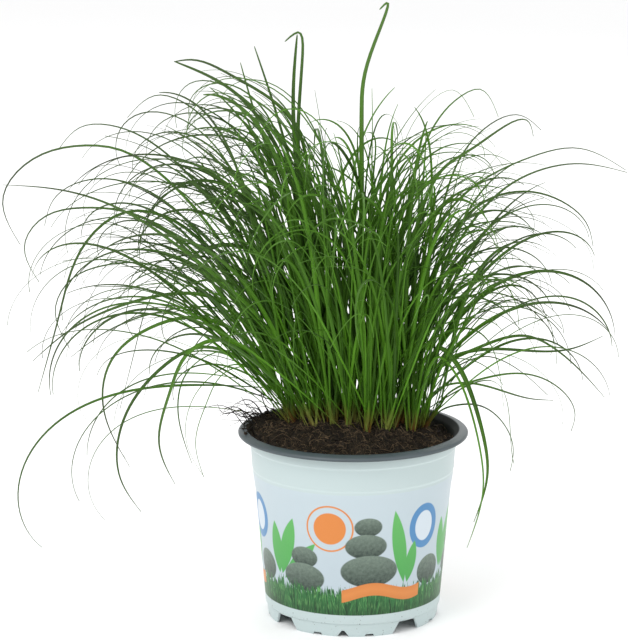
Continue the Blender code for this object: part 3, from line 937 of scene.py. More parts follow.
def least_gap(own: tuple, others: tuple) -> float:
    """The least distance between two sets of round-ended runs.

    Args:
        own: Starts, ends and radii.
        others: The same of the other set.

    Returns:
        The least of |a(s) - b(t)| - ra - rb over both runs' shares s and t.
    """
    starts, ends, radii = (part[:, None] for part in own)
    far_starts, far_ends, far_radii = (part[None] for part in others)
    along, far_along, between = ends - starts, far_ends - far_starts, starts - far_starts
    a = (along * along).sum(-1)
    e = (far_along * far_along).sum(-1)
    b = (along * far_along).sum(-1)
    c = (along * between).sum(-1)
    f = (far_along * between).sum(-1)
    s = np.clip((b * f - c * e) / np.maximum(a * e - b * b, PARALLEL_GUARD), 0, 1)
    t = np.clip((b * s + f) / e, 0, 1)
    s = np.clip((b * t - c) / a, 0, 1)
    apart = between + s[..., None] * along - t[..., None] * far_along
    return float((np.linalg.norm(apart, axis=-1) - radii - far_radii).min())


@dataclass
class Tuft:
    """Grows the shoots one after another, each clear of the others, as the solids are grown.

    Metres and degrees, but foot_spread, the first of sway, lowest and lowest_left are millimetres.
    """

    shoot_count: int = 44
    radii: tuple[float, float] = (36.0 * MM, 29.0 * MM)
    centre: tuple[float, float] = (3.0 * MM, 13.0 * MM)
    spacing: float = 6.4 * MM
    root_gap: float = 0.8 * MM
    sheath_radii: tuple[float, float] = (1.7 * MM, 1.1 * MM)
    sheath_heights: tuple[float, float] = (15.0 * MM, 23.0 * MM)
    leaves_per_shoot: int = 4
    leader_stations: tuple[float, ...] = (0.02, 0.18, 0.38, 0.58, 0.76, 0.9, 1.0)
    leaf_stations: tuple[float, ...] = (0.0, 0.22, 0.46, 0.68, 0.86, 1.0)
    short_stations: tuple[float, ...] = (0.0, 0.28, 0.56, 0.8, 1.0)
    leaf_gap: float = 0.4 * MM
    pot_clearance: float = 3.0 * MM
    reach_centre: tuple[float, float, float] = (-20.0 * MM, 0.0, 110.0 * MM)
    reach: tuple[float, float, float] = (162.0 * MM, 122.0 * MM, 192.0 * MM)
    tries: int = 500
    seed: int = 21
    filler_lean: tuple[float, float] = (3.0, 24.0)
    root_share: tuple[float, float] = (0.35, 0.8)
    shortening: float = 0.08
    stout: Growth = Growth(
        spread=26, turn=18, twist=50, lean=(0.4, 1.15, 0.85), jitter=5, droop=(35, 100, 55),
        bend=(1.5, 4.5), length=(155, 230, 30), width=(1.7, 3.0),
    )
    over: Growth = Growth(
        spread=36, turn=30, twist=60, lean=(0.4, 1.2, 0.9), jitter=6, droop=(60, 120, 60),
        bend=(1.5, 4.2), length=(130, 255, 50), width=(0.8, 2.4),
    )
    crest: Growth = Growth(
        spread=80, turn=30, twist=60, lean=(0.25, 0.25, 0), jitter=9, droop=(50, 215, 0),
        bend=(2.6, 7.0), length=(160, 290, 0), width=(1.5, 3.2),
    )
    # The finer leaves.
    straying: Straying = Straying()
    habits: tuple[Habit, ...] = (Habit.STRAY,) * 2 + (Habit.OVER,) * 4 + (Habit.CREST,) * 4
    finer_seed: int = 3
    finer_centre: tuple[float, float, float] = (-31.0 * MM, 0.0, 118.0 * MM)
    finer_reach: tuple[float, float, float] = (152.0 * MM, 114.0 * MM, 184.0 * MM)
    foot_spread: tuple[float, float] = (0.8, 3.6)
    foot_depth: float = 2.5 * MM
    sway: tuple[float, float, float] = (5.0, 0.5, 1.6)
    over_rim: float = 30.0 * MM
    lowest: tuple[float, float] = (75.0, 190.0)
    lowest_left: tuple[float, float] = (40.0, 150.0)
    far_left: float = -75.0 * MM
    box_slack: tuple[float, float] = (6.0 * MM, 4.0 * MM)
    # What has grown so far.
    shoots: list[Shoot] = field(default_factory=list)
    runs: list[tuple[int, tuple]] = field(default_factory=list)
    draw: np.random.Generator = field(init=False, repr=False)

    def grow(self) -> list[Shoot]:
        """Plants all shoots, adds their stout leaves in turn, then the finer ones.

        Returns:
            The shoots, in the order of the solids.
        """
        self.draw = np.random.default_rng(self.seed)
        self.plant_leaders()
        self.plant_fillers()
        for order in range(1, self.leaves_per_shoot):
            for number in range(len(self.shoots)):
                self.grow_leaf(number, order)
        self.draw = np.random.default_rng(self.finer_seed)
        for shoot in self.shoots:
            self.add_finer(shoot)
        return self.shoots

    def pick(self, limits: tuple[float, float, float], sideways: float) -> float:
        """Draws a number from low to high + more * sideways, for limits of low, high and more."""
        return self.draw.uniform(limits[0], limits[1] + limits[2] * sideways)

    def plant(self, x: float, y: float, heading: float, lean: float) -> int:
        """Starts a shoot on the compost.

        Args:
            x: Where it stands, across.
            y: Where it stands, in depth.
            heading: The way it leans, degrees.
            lean: How far, degrees.

        Returns:
            Its number.
        """
        base = np.array([x, y, soil_height(x, y) + self.root_gap])
        shoot = Shoot(base, heading, lean, self.draw.uniform(*self.sheath_heights))
        self.shoots.append(shoot)
        run = (base[None], shoot.axis_point(1.0)[None], np.array([self.sheath_radii[0]]))
        self.runs.append((len(self.shoots) - 1, run))
        return len(self.shoots) - 1

    def plant_leaders(self) -> None:
        """Shoots whose first leaf is given. One that would touch another swings aside a little."""
        for leader in LEADERS:
            x, y = (value * MM for value in leader.root)
            first_out, first_up = leader.stops[0]
            lean = math.degrees(math.atan2(first_out, first_up - soil_height(x, y) / MM))
            number = self.plant(x, y, leader.heading, lean)
            for attempt in range(self.tries):
                swing = (attempt + 1) // 2 * (1 if attempt % 2 else -1)
                leaf = self.guided(leader, self.shoots[number].base, leader.heading + swing)
                if self.clears(leaf, self.leader_stations, number):
                    self.shoots[number].heading = leader.heading + swing
                    self.keep(leaf, self.leader_stations, number)
                    break

    def plant_fillers(self) -> None:
        """The other shoots, on an oval sunflower spiral: sqrt((i + 0.5) / n) out, at i golden angles."""
        golden = math.pi * (3 - math.sqrt(5))
        count = 2 * self.shoot_count
        for i in range(count):
            share = math.sqrt((i + 0.5) / count)
            x = self.centre[0] + self.radii[0] * share * math.cos(i * golden)
            y = self.centre[1] + self.radii[1] * share * math.sin(i * golden)
            taken = [math.hypot(x - s.base[0], y - s.base[1]) for s in self.shoots]
            if min(taken) <= self.spacing or len(self.shoots) == self.shoot_count:
                continue
            across, deep = x - self.centre[0], y - self.centre[1]
            outward = math.hypot(across / self.radii[0], deep / self.radii[1])
            heading = math.degrees(math.atan2(deep, across))
            lean = self.filler_lean[0] + self.filler_lean[1] * outward
            self.grow_leaf(self.plant(x, y, heading, lean), 0)

    def grow_leaf(self, number: int, order: int) -> None:
        """Draws leaves from the shoot's own habit until one is clear. Later ones are shorter.

        Args:
            number: The shoot's number.
            order: How many leaves came before on it.
        """
        shoot, draw, rule = self.shoots[number], self.draw, self.stout
        stations = self.leaf_stations if order < 2 else self.short_stations
        for _ in range(self.tries):
            heading = shoot.heading + draw.normal(0, rule.spread)
            sideways = abs(math.cos(math.radians(heading)))
            spread = self.pick(rule.lean, sideways)
            lean = max(1.0, shoot.lean * spread + draw.normal(0, rule.jitter))
            droop = lean + self.pick(rule.droop, sideways)
            length = (1.0 - self.shortening * order) * self.pick(rule.length, sideways) * MM
            root = shoot.axis_point(draw.uniform(*self.root_share))
            turn = draw.normal(0, rule.turn)
            bend = draw.uniform(*rule.bend)
            blade = (draw.uniform(*rule.width) * MM, draw.uniform(-rule.twist, rule.twist))
            leaf = self.arching(root, (heading, turn), (lean, droop, bend), length, blade)
            inside = self.within_reach(leaf, self.reach_centre, self.reach)
            if inside and self.clears(leaf, stations, number):
                self.keep(leaf, stations, number)
                return

    @staticmethod
    def guided(leader: Leader, base: np.ndarray, heading: float) -> Leaf:
        """The leaf that passes a leader's stops, in the upright plane of this heading.

        Args:
            leader: Its course and width.
            base: The foot of its shoot.
            heading: Degrees.

        Returns:
            The leaf, untwisted.
        """
        course = spline_through(((0.0, base[2] / MM), *leader.stops)) * MM
        turn = math.radians(heading)
        line = np.empty((FINE_STEPS + 1, 3))
        line[:, 0] = base[0] + course[:, 0] * math.cos(turn)
        line[:, 1] = base[1] + course[:, 0] * math.sin(turn)
        line[:, 2] = course[:, 1]
        return Leaf(line, np.full(FINE_STEPS + 1, turn), leader.width * MM, 0.0)

    @staticmethod
    def arching(root: np.ndarray, bearing: tuple, arch: tuple, length: float, blade: tuple) -> Leaf:
        """A leaf whose lean is lean + (droop - lean) u^bend and whose heading is heading + turn u^2.

        Args:
            root: Where it starts.
            bearing: Heading and turn, degrees.
            arch: Lean, droop and bend.
            length: Metres.
            blade: Width in metres and twist in degrees.

        Returns:
            The leaf, summed up from FINE_STEPS straight steps.
        """
        (heading, turn), (lean, droop, bend) = bearing, arch
        middle = (np.arange(FINE_STEPS) + 0.5) / FINE_STEPS
        tilt = np.radians(lean + (droop - lean) * middle**bend)
        course = np.radians(heading + turn * middle**2)
        steps = [np.sin(tilt) * np.cos(course), np.sin(tilt) * np.sin(course), np.cos(tilt)]
        steps = np.stack(steps, axis=1)
        line = np.vstack([root, root + np.cumsum(steps * length / FINE_STEPS, axis=0)])
        headings = np.radians(heading + turn * (np.arange(FINE_STEPS + 1) / FINE_STEPS) ** 2)
        return Leaf(line, headings, blade[0], math.radians(blade[1]))

    @staticmethod
    def within_reach(leaf: Leaf, centre: tuple, reach: tuple) -> bool:
        """True inside an outline that is an ellipse seen from above, domed at the top.

        Args:
            leaf: The leaf.
            centre: The outline's centre.
            reach: Half its size along each axis.

        Returns:
            Whether all of it is inside.
        """
        share = (leaf.line - np.array(centre)) / np.array(reach)
        share[:, 2] = np.maximum(share[:, 2], 0)
        return bool(((share**2).sum(axis=1) < 1).all())

    def off_pot(self, leaf: Leaf) -> bool:
        """True if the leaf, past its sheath, stays above the rim or outside it.

        Args:
            leaf: The leaf.

        Returns:
            Whether it does.
        """
        past = leaf.line[FINE_STEPS // 6 :]
        over = np.hypot(past[:, 0], past[:, 1]) < RIM_RADIUS + self.pot_clearance
        return not bool((past[over, 2] < POT_HEIGHT + self.pot_clearance).any())

    def clears(self, leaf: Leaf, stations: tuple, number: int) -> bool:
        """True if the leaf stays off the pot, the compost and the other shoots.

        Args:
            leaf: The leaf.
            stations: Shares along it where its straight runs meet.
            number: Its shoot, which it may touch.

        Returns:
            Whether it does.
        """
        if not self.off_pot(leaf):
            return False
        found = [run for owner, run in self.runs if owner != number]
        if not found:
            return True
        others = tuple(np.concatenate(parts) for parts in zip(*found))
        return least_gap(self.runs_of(leaf, stations), others) > self.leaf_gap

    @staticmethod
    def runs_of(leaf: Leaf, stations: tuple) -> tuple:
        """The straight runs between a leaf's stations: starts, ends and radii.

        Args:
            leaf: The leaf.
            stations: Shares along it.

        Returns:
            Starts, ends, and the greater half width of each run.
        """
        points = leaf.line[np.round(np.array(stations) * FINE_STEPS).astype(int)]
        reach = half_width(np.array(stations), leaf.width)
        return points[:-1], points[1:], np.maximum(reach[:-1], reach[1:])

    def keep(self, leaf: Leaf, stations: tuple, number: int) -> None:
        """Adds a leaf to its shoot."""
        self.shoots[number].leaves.append(leaf)
        self.runs.append((number, self.runs_of(leaf, stations)))

    def add_finer(self, shoot: Shoot) -> None:
        """Adds narrow leaves that start beside the shoot: strays keep near its stout leaves, the
        others arch over on their own or stand up in the crest.

        Args:
            shoot: The shoot.
        """
        for number, habit in enumerate(self.habits):
            for _ in range(self.tries):
                if habit is Habit.STRAY:
                    finer = self.beside(shoot, shoot.leaves[number % len(shoot.leaves)])
                    apt = True
                else:
                    finer = self.on_its_own(shoot, habit)
                    inside = self.within_reach(finer, self.finer_centre, self.finer_reach)
                    apt = inside and self.hangs_little(finer)
                if apt and self.off_pot(finer) and self.off_compost(finer) and self.in_box(finer):
                    shoot.finer.append(finer)
                    break

    def off_compost(self, leaf: Leaf) -> bool:
        """True if no part of the outer half is over the pot and less than over_rim above its rim.

        Args:
            leaf: The leaf.

        Returns:
            Whether it is so.
        """
        outer = leaf.line[FINE_STEPS // 2 :]
        over = np.hypot(outer[:, 0], outer[:, 1]) < RIM_RADIUS
        return not bool((outer[over, 2] < POT_HEIGHT + self.over_rim).any())

    def hangs_little(self, leaf: Leaf) -> bool:
        """True if no part past the sheath is under a height that is drawn from lowest, or from
        lowest_left for a leaf that ends far to the left."""
        limits = self.lowest_left if leaf.line[-1, 0] < self.far_left else self.lowest
        return bool(leaf.line[FINE_STEPS // 6 :, 2].min() > self.draw.uniform(*limits) * MM)

    def root_beside(self, shoot: Shoot) -> np.ndarray:
        """A place in the compost close to the shoot's foot, under the even top.

        Args:
            shoot: The shoot.

        Returns:
            The place.
        """
        aside, away = self.draw.uniform(0, 2 * np.pi), self.draw.uniform(*self.foot_spread) * MM
        x, y = shoot.base[0] + away * math.cos(aside), shoot.base[1] + away * math.sin(aside)
        return np.array([x, y, soil_height(x, y) - self.foot_depth])

    def on_its_own(self, shoot: Shoot, habit: Habit) -> Leaf:
        """A narrow leaf that follows the rule of the stout ones, and bends further over.

        Args:
            shoot: The shoot that it belongs to.
            habit: Over, or crest, which is longer and leans by its own rule.

        Returns:
            The leaf, swayed off its plane by sway sin(2 pi waves u) u.
        """
        draw, upright = self.draw, habit is Habit.CREST
        rule = self.crest if upright else self.over
        heading = shoot.heading + draw.normal(0, rule.spread)
        sideways = abs(math.cos(math.radians(heading)))
        if upright:
            lean = abs(draw.normal(0, rule.jitter)) + rule.lean[0] * shoot.lean
        else:
            lean = max(1.0, shoot.lean * self.pick(rule.lean, sideways) + draw.normal(0, rule.jitter))
        arch = (lean, lean + self.pick(rule.droop, sideways), draw.uniform(*rule.bend))
        length = self.pick(rule.length, sideways) * MM
        blade = (draw.uniform(*rule.width) * MM, draw.uniform(-rule.twist, rule.twist))
        root = self.root_beside(shoot)
        leaf = self.arching(root, (heading, draw.normal(0, rule.turn)), arch, length, blade)
        share = np.linspace(0, 1, FINE_STEPS + 1)
        size, fewest, most = self.sway
        sway = draw.normal(0, size) * MM * np.sin(2 * np.pi * draw.uniform(fewest, most) * share) * share
        leaf.line[:, 0] -= sway * np.sin(leaf.headings)
        leaf.line[:, 1] += sway * np.cos(leaf.headings)
        return leaf

    def beside(self, shoot: Shoot, leaf: Leaf) -> Leaf:
        """A narrower, often shorter leaf: the stout one turned, tilted and bent a little.

        Args:
            shoot: The shoot that both belong to.
            leaf: The stout leaf.

        Returns:
            root + turn(tilt(line - line0)) * scale, plus sag u^3 down and drift u^2 sideways.
        """
        draw, rule = self.draw, self.straying
        root = self.root_beside(shoot)
        turn = math.radians(draw.normal(0, rule.turn))
        tilt = math.radians(draw.normal(0, rule.tilt))
        local = (leaf.line - leaf.line[0]) * draw.uniform(*rule.scale)
        share = np.linspace(0, 1, FINE_STEPS + 1)
        heading = leaf.headings[0]
        out = local[:, 0] * math.cos(heading) + local[:, 1] * math.sin(heading)
        off = local[:, 1] * math.cos(heading) - local[:, 0] * math.sin(heading)
        bent_out = out * math.cos(tilt) + local[:, 2] * math.sin(tilt)
        rise = local[:, 2] * math.cos(tilt) - out * math.sin(tilt)
        off = off + draw.normal(0, rule.drift) * MM * share**2
        rise = rise - draw.uniform(*rule.sag) * MM * share**3
        cos_new, sin_new = math.cos(heading + turn), math.sin(heading + turn)
        line = [bent_out * cos_new - off * sin_new, bent_out * sin_new + off * cos_new, rise]
        width = leaf.width * draw.uniform(*rule.width)
        twist = leaf.twist + draw.normal(0, rule.twist)
        return Leaf(np.stack(line, axis=1) + root, leaf.headings + turn, width, twist)

    def in_box(self, leaf: Leaf) -> bool:
        """True if the leaf stays in the solids' box, give or take box_slack below and above.

        Args:
            leaf: The leaf.

        Returns:
            Whether it does.
        """
        low, high = (np.array(corner) for corner in SOLID_BOX)
        line = leaf.line + POT_AXIS
        below, beyond = self.box_slack
        return bool((line > low - below).all() and (line < high + beyond).all())


@dataclass
class TuftBuilder:
    """Turns the shoots into dressed meshes. Metres, radians, and shares of a leaf's half width."""

    rings: int = 45
    ring_crowding: float = 1.35
    fold: float = 0.42
    foot_fold: float = 0.5
    skin: float = 0.16
    least_skin: float = 0.05 * MM
    roll: float = 1.3
    shown_roll: tuple[float, float] = (0.95, 0.3)
    tall: float = 268.0 * MM
    fullness: tuple[float, float, float] = (0.42, 0.14, 0.19)
    stout: float = 1.9 * MM
    slimness: tuple[float, float] = (0.7, 0.48)
    slim_until: float = 0.45
    least_half: float = 0.17 * MM
    rise_over: float = 90.0 * MM
    dull_aside: tuple[float, float] = (40.0 * MM, 60.0 * MM)
    dull_high: tuple[float, float] = (255.0 * MM, 40.0 * MM)
    dull_limits: tuple[float, float] = (0.35, 0.65)
    sheath_corners: int = 10
    sheath_rings: int = 7
    sheath_share: float = 0.78
    seed: int = 29
    material: bpy.types.Material = field(default_factory=lambda: LeafFinish().material())

    @staticmethod
    def smoothed(lines: np.ndarray, share: np.ndarray) -> tuple[np.ndarray, np.ndarray]:
        """Centre lines read off at these shares with a Catmull-Rom curve through their points.

        Args:
            lines: [leaf, point, axis].
            share: Places along, 0 to 1.

        Returns:
            [leaf, share, axis], and the point before each share. With four points p0 to p3 round it
            the curve is p1 + (t/2) (p2 - p0 + t (2p0 - 5p1 + 4p2 - p3 + t (3p1 - p0 - 3p2 + p3))).
        """
        fine = share * FINE_STEPS
        low = np.minimum(fine.astype(int), FINE_STEPS - 1)
        t = (fine - low)[None, :, None]
        p0, p1, p2, p3 = (lines[:, np.clip(low + step, 0, FINE_STEPS)] for step in (-1, 0, 1, 2))
        curve = 2 * p0 - 5 * p1 + 4 * p2 - p3 + t * (3 * p1 - p0 - 3 * p2 + p3)
        return p1 + t / 2 * (p2 - p0 + t * curve), low

    def blades(self, leaves: list[Leaf], draw: np.random.Generator) -> Surface:
        """Folded blades: P = line + a h side + b up, for six corners (a, b) of a V with a skin.

        Args:
            leaves: The leaves.
            draw: Draws each leaf's tone.

        Returns:
            Closed blades. h is the half width, side the level cross direction turned by the twist
            and a roll, and up = tangent x side. Rings crowd towards the tip.
        """
        share = 1 - (1 - np.linspace(0, 1, self.rings)) ** self.ring_crowding
        lines, low = self.smoothed(np.stack([leaf.line for leaf in leaves]), share)
        headings = np.stack([leaf.headings for leaf in leaves])[:, low]
        widths = np.array([leaf.width for leaf in leaves])[:, None]
        twists = np.array([leaf.twist for leaf in leaves])[:, None] * share
        shown = np.array([leaf.twist == 0 for leaf in leaves])
        rolls = draw.uniform(-self.roll, self.roll, len(leaves))
        least, more = self.shown_roll
        rolls = np.where(shown, np.sign(rolls) * (least + more * np.abs(rolls)), rolls)
        twists = twists + rolls[:, None] * np.clip(share / 0.2, 0, 1)
        side, up = self.cross_directions(lines, headings, twists)
        half = self.half_widths(lines[:, -1, 2], shown, widths, share)
        fold = half * (self.fold + self.foot_fold * np.clip(1 - share / 0.2, 0, 1))
        skin = np.maximum(half * self.skin, self.least_skin)
        across = np.array([-1.0, 0.0, 1.0, 1.0, 0.0, -1.0])
        lift = np.stack([0 * fold, -fold, 0 * fold, -skin, -fold - 1.5 * skin, -skin], axis=-1)
        points = (
            lines[:, :, None]
            + (across * half[..., None])[..., None] * side[:, :, None]
            + lift[..., None] * up[:, :, None]
        )
        shape = points.shape[:3]
        count, per_leaf = len(leaves), self.rings * len(across)
        quads = tube_quads(*shape)
        along = np.broadcast_to(share[None, :, None], shape)
        uv = np.stack([np.broadcast_to(0.5 + across / 2, shape), along], axis=-1)
        ground = soil_height(points[..., 0], points[..., 1])
        rise = np.maximum((points[..., 2] - ground) / self.rise_over, 2.5 * along - 0.5)
        traits = {
            "tone": np.repeat(draw.beta(2.0, 2.0, count), per_leaf),
            "blush": np.repeat(draw.random(count), per_leaf),
            "rise": np.clip(rise, 0, 1).ravel(),
            "dull": np.repeat(self.dullness(lines[:, -1]), per_leaf),
        }
        return Surface(points.reshape(-1, 3), quads, uv.reshape(-1, 2)[quads.ravel()], traits)

    @staticmethod
    def cross_directions(
        lines: np.ndarray, headings: np.ndarray, twists: np.ndarray
    ) -> tuple[np.ndarray, np.ndarray]:
        """The level cross direction at each point, turned by the twist, and tangent x side.

        Args:
            lines: Centre lines [leaf, ring, axis].
            headings: Headings in radians [leaf, ring].
            twists: Twists in radians [leaf, ring].

        Returns:
            side and up, unit vectors.
        """
        along = np.gradient(lines, axis=1)
        along /= np.linalg.norm(along, axis=2, keepdims=True)
        level = np.stack([-np.sin(headings), np.cos(headings), np.zeros_like(headings)], axis=-1)
        level -= (level * along).sum(-1, keepdims=True) * along
        level /= np.linalg.norm(level, axis=2, keepdims=True)
        square = np.cross(along, level)
        side = level * np.cos(twists)[..., None] + square * np.sin(twists)[..., None]
        return side, np.cross(along, side)

    def half_widths(
        self, ends: np.ndarray, shown: np.ndarray, widths: np.ndarray, share: np.ndarray
    ) -> np.ndarray:
        """Half the blades: the solid's half * (slim + (1 - slim) min(share / 0.45, 1)) / (1 - share)^f.

        Args:
            ends: How high each leaf ends.
            shown: Whether its course is given.
            widths: Its width, as a column.
            share: Places along, 0 to 1.

        Returns:
            [leaf, ring]. slim is less for a narrow leaf, f is most for one that ends high up.
        """
        high, given, other = self.fullness
        fuller = np.where(ends > self.tall, high, np.where(shown, given, other))[:, None]
        slim = np.where(widths > self.stout, *self.slimness)
        shape = slim + (1 - slim) * np.clip(share / self.slim_until, 0, 1)
        shape = shape / (1.0001 - share) ** fuller
        return np.maximum(half_width(share[None], widths) * shape, self.least_half)

    def dullness(self, ends: np.ndarray) -> np.ndarray:
        """How far each leaf dulls towards its tip: most for one that ends far to a side or high up.

        Args:
            ends: The leaves' ends [leaf, axis].

        Returns:
            One number a leaf, up to 1.
        """
        least, most_for_height = self.dull_limits
        aside = (np.abs(ends[:, 0]) - self.dull_aside[0]) / self.dull_aside[1]
        high = (ends[:, 2] - self.dull_high[0]) / self.dull_high[1]
        return np.clip(np.maximum(aside, np.minimum(high, most_for_height)), least, 1)

    def sheath(self, shoot: Shoot, radii: tuple[float, float], draw: np.random.Generator) -> Surface:
        """The sheath round the stem's foot: a leaning tube, r from base to top, sunk in the compost.

        Args:
            shoot: The shoot.
            radii: The solid sheath's radii, at its base and its top.
            draw: Draws its tone and blush.

        Returns:
            The closed tube, drawn in to nothing at its top.
        """
        share = np.linspace(-0.16, 1, self.sheath_rings)
        line = np.stack([shoot.axis_point(value) for value in share])
        radius = radii[0] + (radii[1] - radii[0]) * np.clip(share, 0, 1) ** 0.7
        radius = radius * self.sheath_share * np.clip((1.12 - share) / 0.6, 0, 1)
        traits = {"tone": draw.uniform(0.0, 0.45, 1), "blush": draw.uniform(0.3, 1.0, 1)}
        traits["dull"] = np.zeros(1)
        made = tubes(line[None], radius[None], self.sheath_corners, traits)
        ground = soil_height(made.points[:, 0], made.points[:, 1])
        made.traits["rise"] = np.clip((made.points[:, 2] - ground) / self.rise_over, 0, 1) * 0.8
        return made

    def build(self, tuft: Tuft) -> None:
        """Makes one piece for each shoot, in place of its solid.

        Args:
            tuft: The tuft, not yet grown.
        """
        draw = np.random.default_rng(self.seed)
        for number, shoot in enumerate(tuft.grow()):
            blades = self.blades(shoot.leaves + shoot.finer, draw)
            whole = Surface.joined([blades, self.sheath(shoot, tuft.sheath_radii, draw)])
            whole.points = whole.points + POT_AXIS
            node = f"shoot_{number + 1:02d}"
            piece = whole.to_object(f"{node}_leaves", [self.material], 30.0)
            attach(piece, "root")
            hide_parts(node)
        count = sum(len(shoot.leaves) + len(shoot.finer) for shoot in tuft.shoots)
        LOG.info("tuft: %d shoots, %d leaves", len(tuft.shoots), count)


# The pot


@dataclass
class Pot:
    """The moulded pot: two walls turned about its axis, a lip, a raised base and a notched foot.

    Millimetres and degrees. quarter_notches are the corners of the foot's notches in a quarter turn.
    """

    wall: float = 1.1
    foot_top: float = 6.5
    foot_radius: float = 44.4
    foot_turn: float = -6.3
    drain_circle: float = 32.0
    drain_radius: float = 4.0
    drains: int = 8
    drain_height: float = 7.35
    foot_spread: float = 0.8
    foot_rows: tuple[float, ...] = (0.12, 0.4, 0.7, 0.94, 1.0)
    foot_rows_inside: tuple[float, ...] = (1.0, 0.7, 0.4, 0.12)
    underside: float = 6.8
    underside_rows: tuple[float, ...] = (44.0, 36.5, 27.5, 0.0)
    columns: int = 256
    least_step: float = 0.35
    quarter_start: float = -34.0
    quarter_notches: tuple = (
        (-20.9, 0.0), (-20.1, 1.3), (-15.1, 1.3), (-14.3, 0.0),
        (-4.1, 0.0), (-0.8, 3.3), (0.8, 3.3), (4.1, 0.0),
        (14.3, 0.0), (15.1, 1.3), (20.1, 1.3), (20.9, 0.0),
        (34.0, 0.0), (38.5, 6.3), (51.5, 6.3), (56.0, 0.0),
    )

    @staticmethod
    def rounded(corners: list[tuple[float, float, float]], steps: int = 4) -> np.ndarray:
        """A profile with its corners eased: B(t) = (1-t)^2 A + 2 t (1-t) C + t^2 B round corner C.

        Args:
            corners: (radius, height, how far the easing reaches along each side).
            steps: Pieces of each curve.

        Returns:
            Points of the eased profile.
        """
        path = np.array([corner[:2] for corner in corners])
        made = [path[0]]
        t = np.linspace(0, 1, steps + 1)[:, None]
        for before, corner, after, (_, _, reach) in zip(path, path[1:], path[2:], corners[1:]):
            back, ahead = before - corner, after - corner
            start = corner + back * min(0.45, reach / np.linalg.norm(back))
            end = corner + ahead * min(0.45, reach / np.linalg.norm(ahead))
            made.extend((1 - t) ** 2 * start + 2 * t * (1 - t) * corner + t**2 * end)
        return np.array([*made, path[-1]])

    def inner_profile(self) -> np.ndarray:
        """From the axis across the base, up the inside, over the lip and back under it.

        Returns:
            (radius, height) points in millimetres.
        """
        return self.rounded([
            (0.0, 7.9, 0), (20.0, 7.9, 1), (44.9, 7.9, 1.2), (50.5, 78.0, 2), (52.0, 90.0, 2),
            (52.7, 97.0, 0.8), (55.4, 99.9, 0.5), (57.0, 99.9, 0.6), (59.3, 99.0, 0.5),
            (60.0, 98.2, 0.3), (59.9, 97.3, 0.3), (59.4, 97.0, 0.2), (54.4, 96.8, 0.4),
        ])

    def outer_profile(self) -> np.ndarray:
        """From under the lip down the outside to the foot's ledge.

        Returns:
            (radius, height) points in millimetres.
        """
        return self.rounded([
            (54.4, 96.8, 0), (54.2, 95.6, 0.4), (54.1, 91.6, 0.3), (53.5, 90.9, 0.4), (53.1, 86.0, 2),
            (52.8, 80.0, 0.3), (52.4, 79.0, 0.4), (52.3, 76.0, 2), (51.3, 70.0, 3), (50.5, 62.0, 4),
            (49.0, 45.0, 4), (47.5, 27.0, 4), (46.2, 12.0, 2), (45.9, 7.2, 0.3), (45.2, 6.5, 0.2),
        ])

    def foot_cut(self, angles: np.ndarray) -> np.ndarray:
        """How high the foot is cut at each angle: straight lines between a quarter's notch corners.

        Args:
            angles: Degrees from the front.

        Returns:
            Millimetres above the floor.
        """
        within = (angles - self.foot_turn + 45.0) % 90.0 - 45.0
        within = np.where(within < self.quarter_start, within + 90.0, within)
        places, heights = zip(*self.quarter_notches)
        return np.interp(within, places, heights)

    def angles(self) -> np.ndarray:
        """Columns in degrees from the front, -180 to 180: even ones, and one at each notch corner.

        Returns:
            The angles, in order.
        """
        even = np.linspace(-180, 180, self.columns + 1)[:-1]
        places = np.array([place for place, _ in self.quarter_notches])
        corners = (places[None] + self.foot_turn + 90.0 * np.arange(4)[:, None]).ravel()
        corners = (corners + 180) % 360 - 180
        even = even[np.abs(even[:, None] - corners[None]).min(1) > self.least_step]
        return np.sort(np.concatenate([even, corners]))

    def turned(self) -> Surface:
        """The whole shell: P = (r sin a, -r cos a, z) for each row (r, z) and angle a.

        Returns:
            The surface. Rows of the foot end at the height where the notches cut it.
        """
        angles = self.angles()
        cut = self.foot_cut(angles)
        inner, outer = self.inner_profile(), self.outer_profile()[1:]
        rows = [(np.full_like(cut, r), np.full_like(cut, z), Zone.RIM) for r, z in inner]
        rows += [(np.full_like(cut, r), np.full_like(cut, z), Zone.OUTSIDE) for r, z in outer]
        for share in self.foot_rows:
            height = self.foot_top + (cut - self.foot_top) * share
            shrink = 0.15 if share == 1.0 else 0.0
            radius = self.foot_radius + self.foot_spread * height / self.foot_top - shrink
            rows.append((radius, height, Zone.OUTSIDE))
        for share in self.foot_rows_inside:
            height = self.foot_top + 0.2 + (cut - self.foot_top - 0.2) * share
            radius = self.foot_radius - self.wall + self.foot_spread * height / self.foot_top
            rows.append((radius, height, Zone.OUTSIDE))
        for radius in self.underside_rows:
            rows.append((np.full_like(cut, radius), np.full_like(cut, self.underside), Zone.OUTSIDE))
        radius = np.stack([row[0] for row in rows])
        height = np.stack([row[1] for row in rows])
        turn = np.radians(angles)[None]
        points = np.stack([radius * np.sin(turn), -radius * np.cos(turn), height], axis=-1)
        count, columns = radius.shape
        quads = wall_quads(count, columns)
        column = quads % columns
        around = (angles[column] + np.where(column < column[:, :1], 360, 0)) / 360
        uv = np.stack([around, height.ravel()[quads]], axis=-1).reshape(-1, 2)
        zones = np.repeat([row[2].value for row in rows[1:]], columns)
        return Surface(points.reshape(-1, 3) * MM + POT_AXIS, quads, uv, {}, zones)

    def build(self) -> None:
        """Makes the pot in place of its solid and drills its drain holes."""
        materials = [PrintFinish().material(), RimFinish().material()]
        piece = self.turned().to_object("printed_pot", materials, 32.0, weld=True)
        self.drill(piece)
        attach(piece, "root")
        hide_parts("pot")
        LOG.info("pot: %d faces", len(piece.data.polygons))

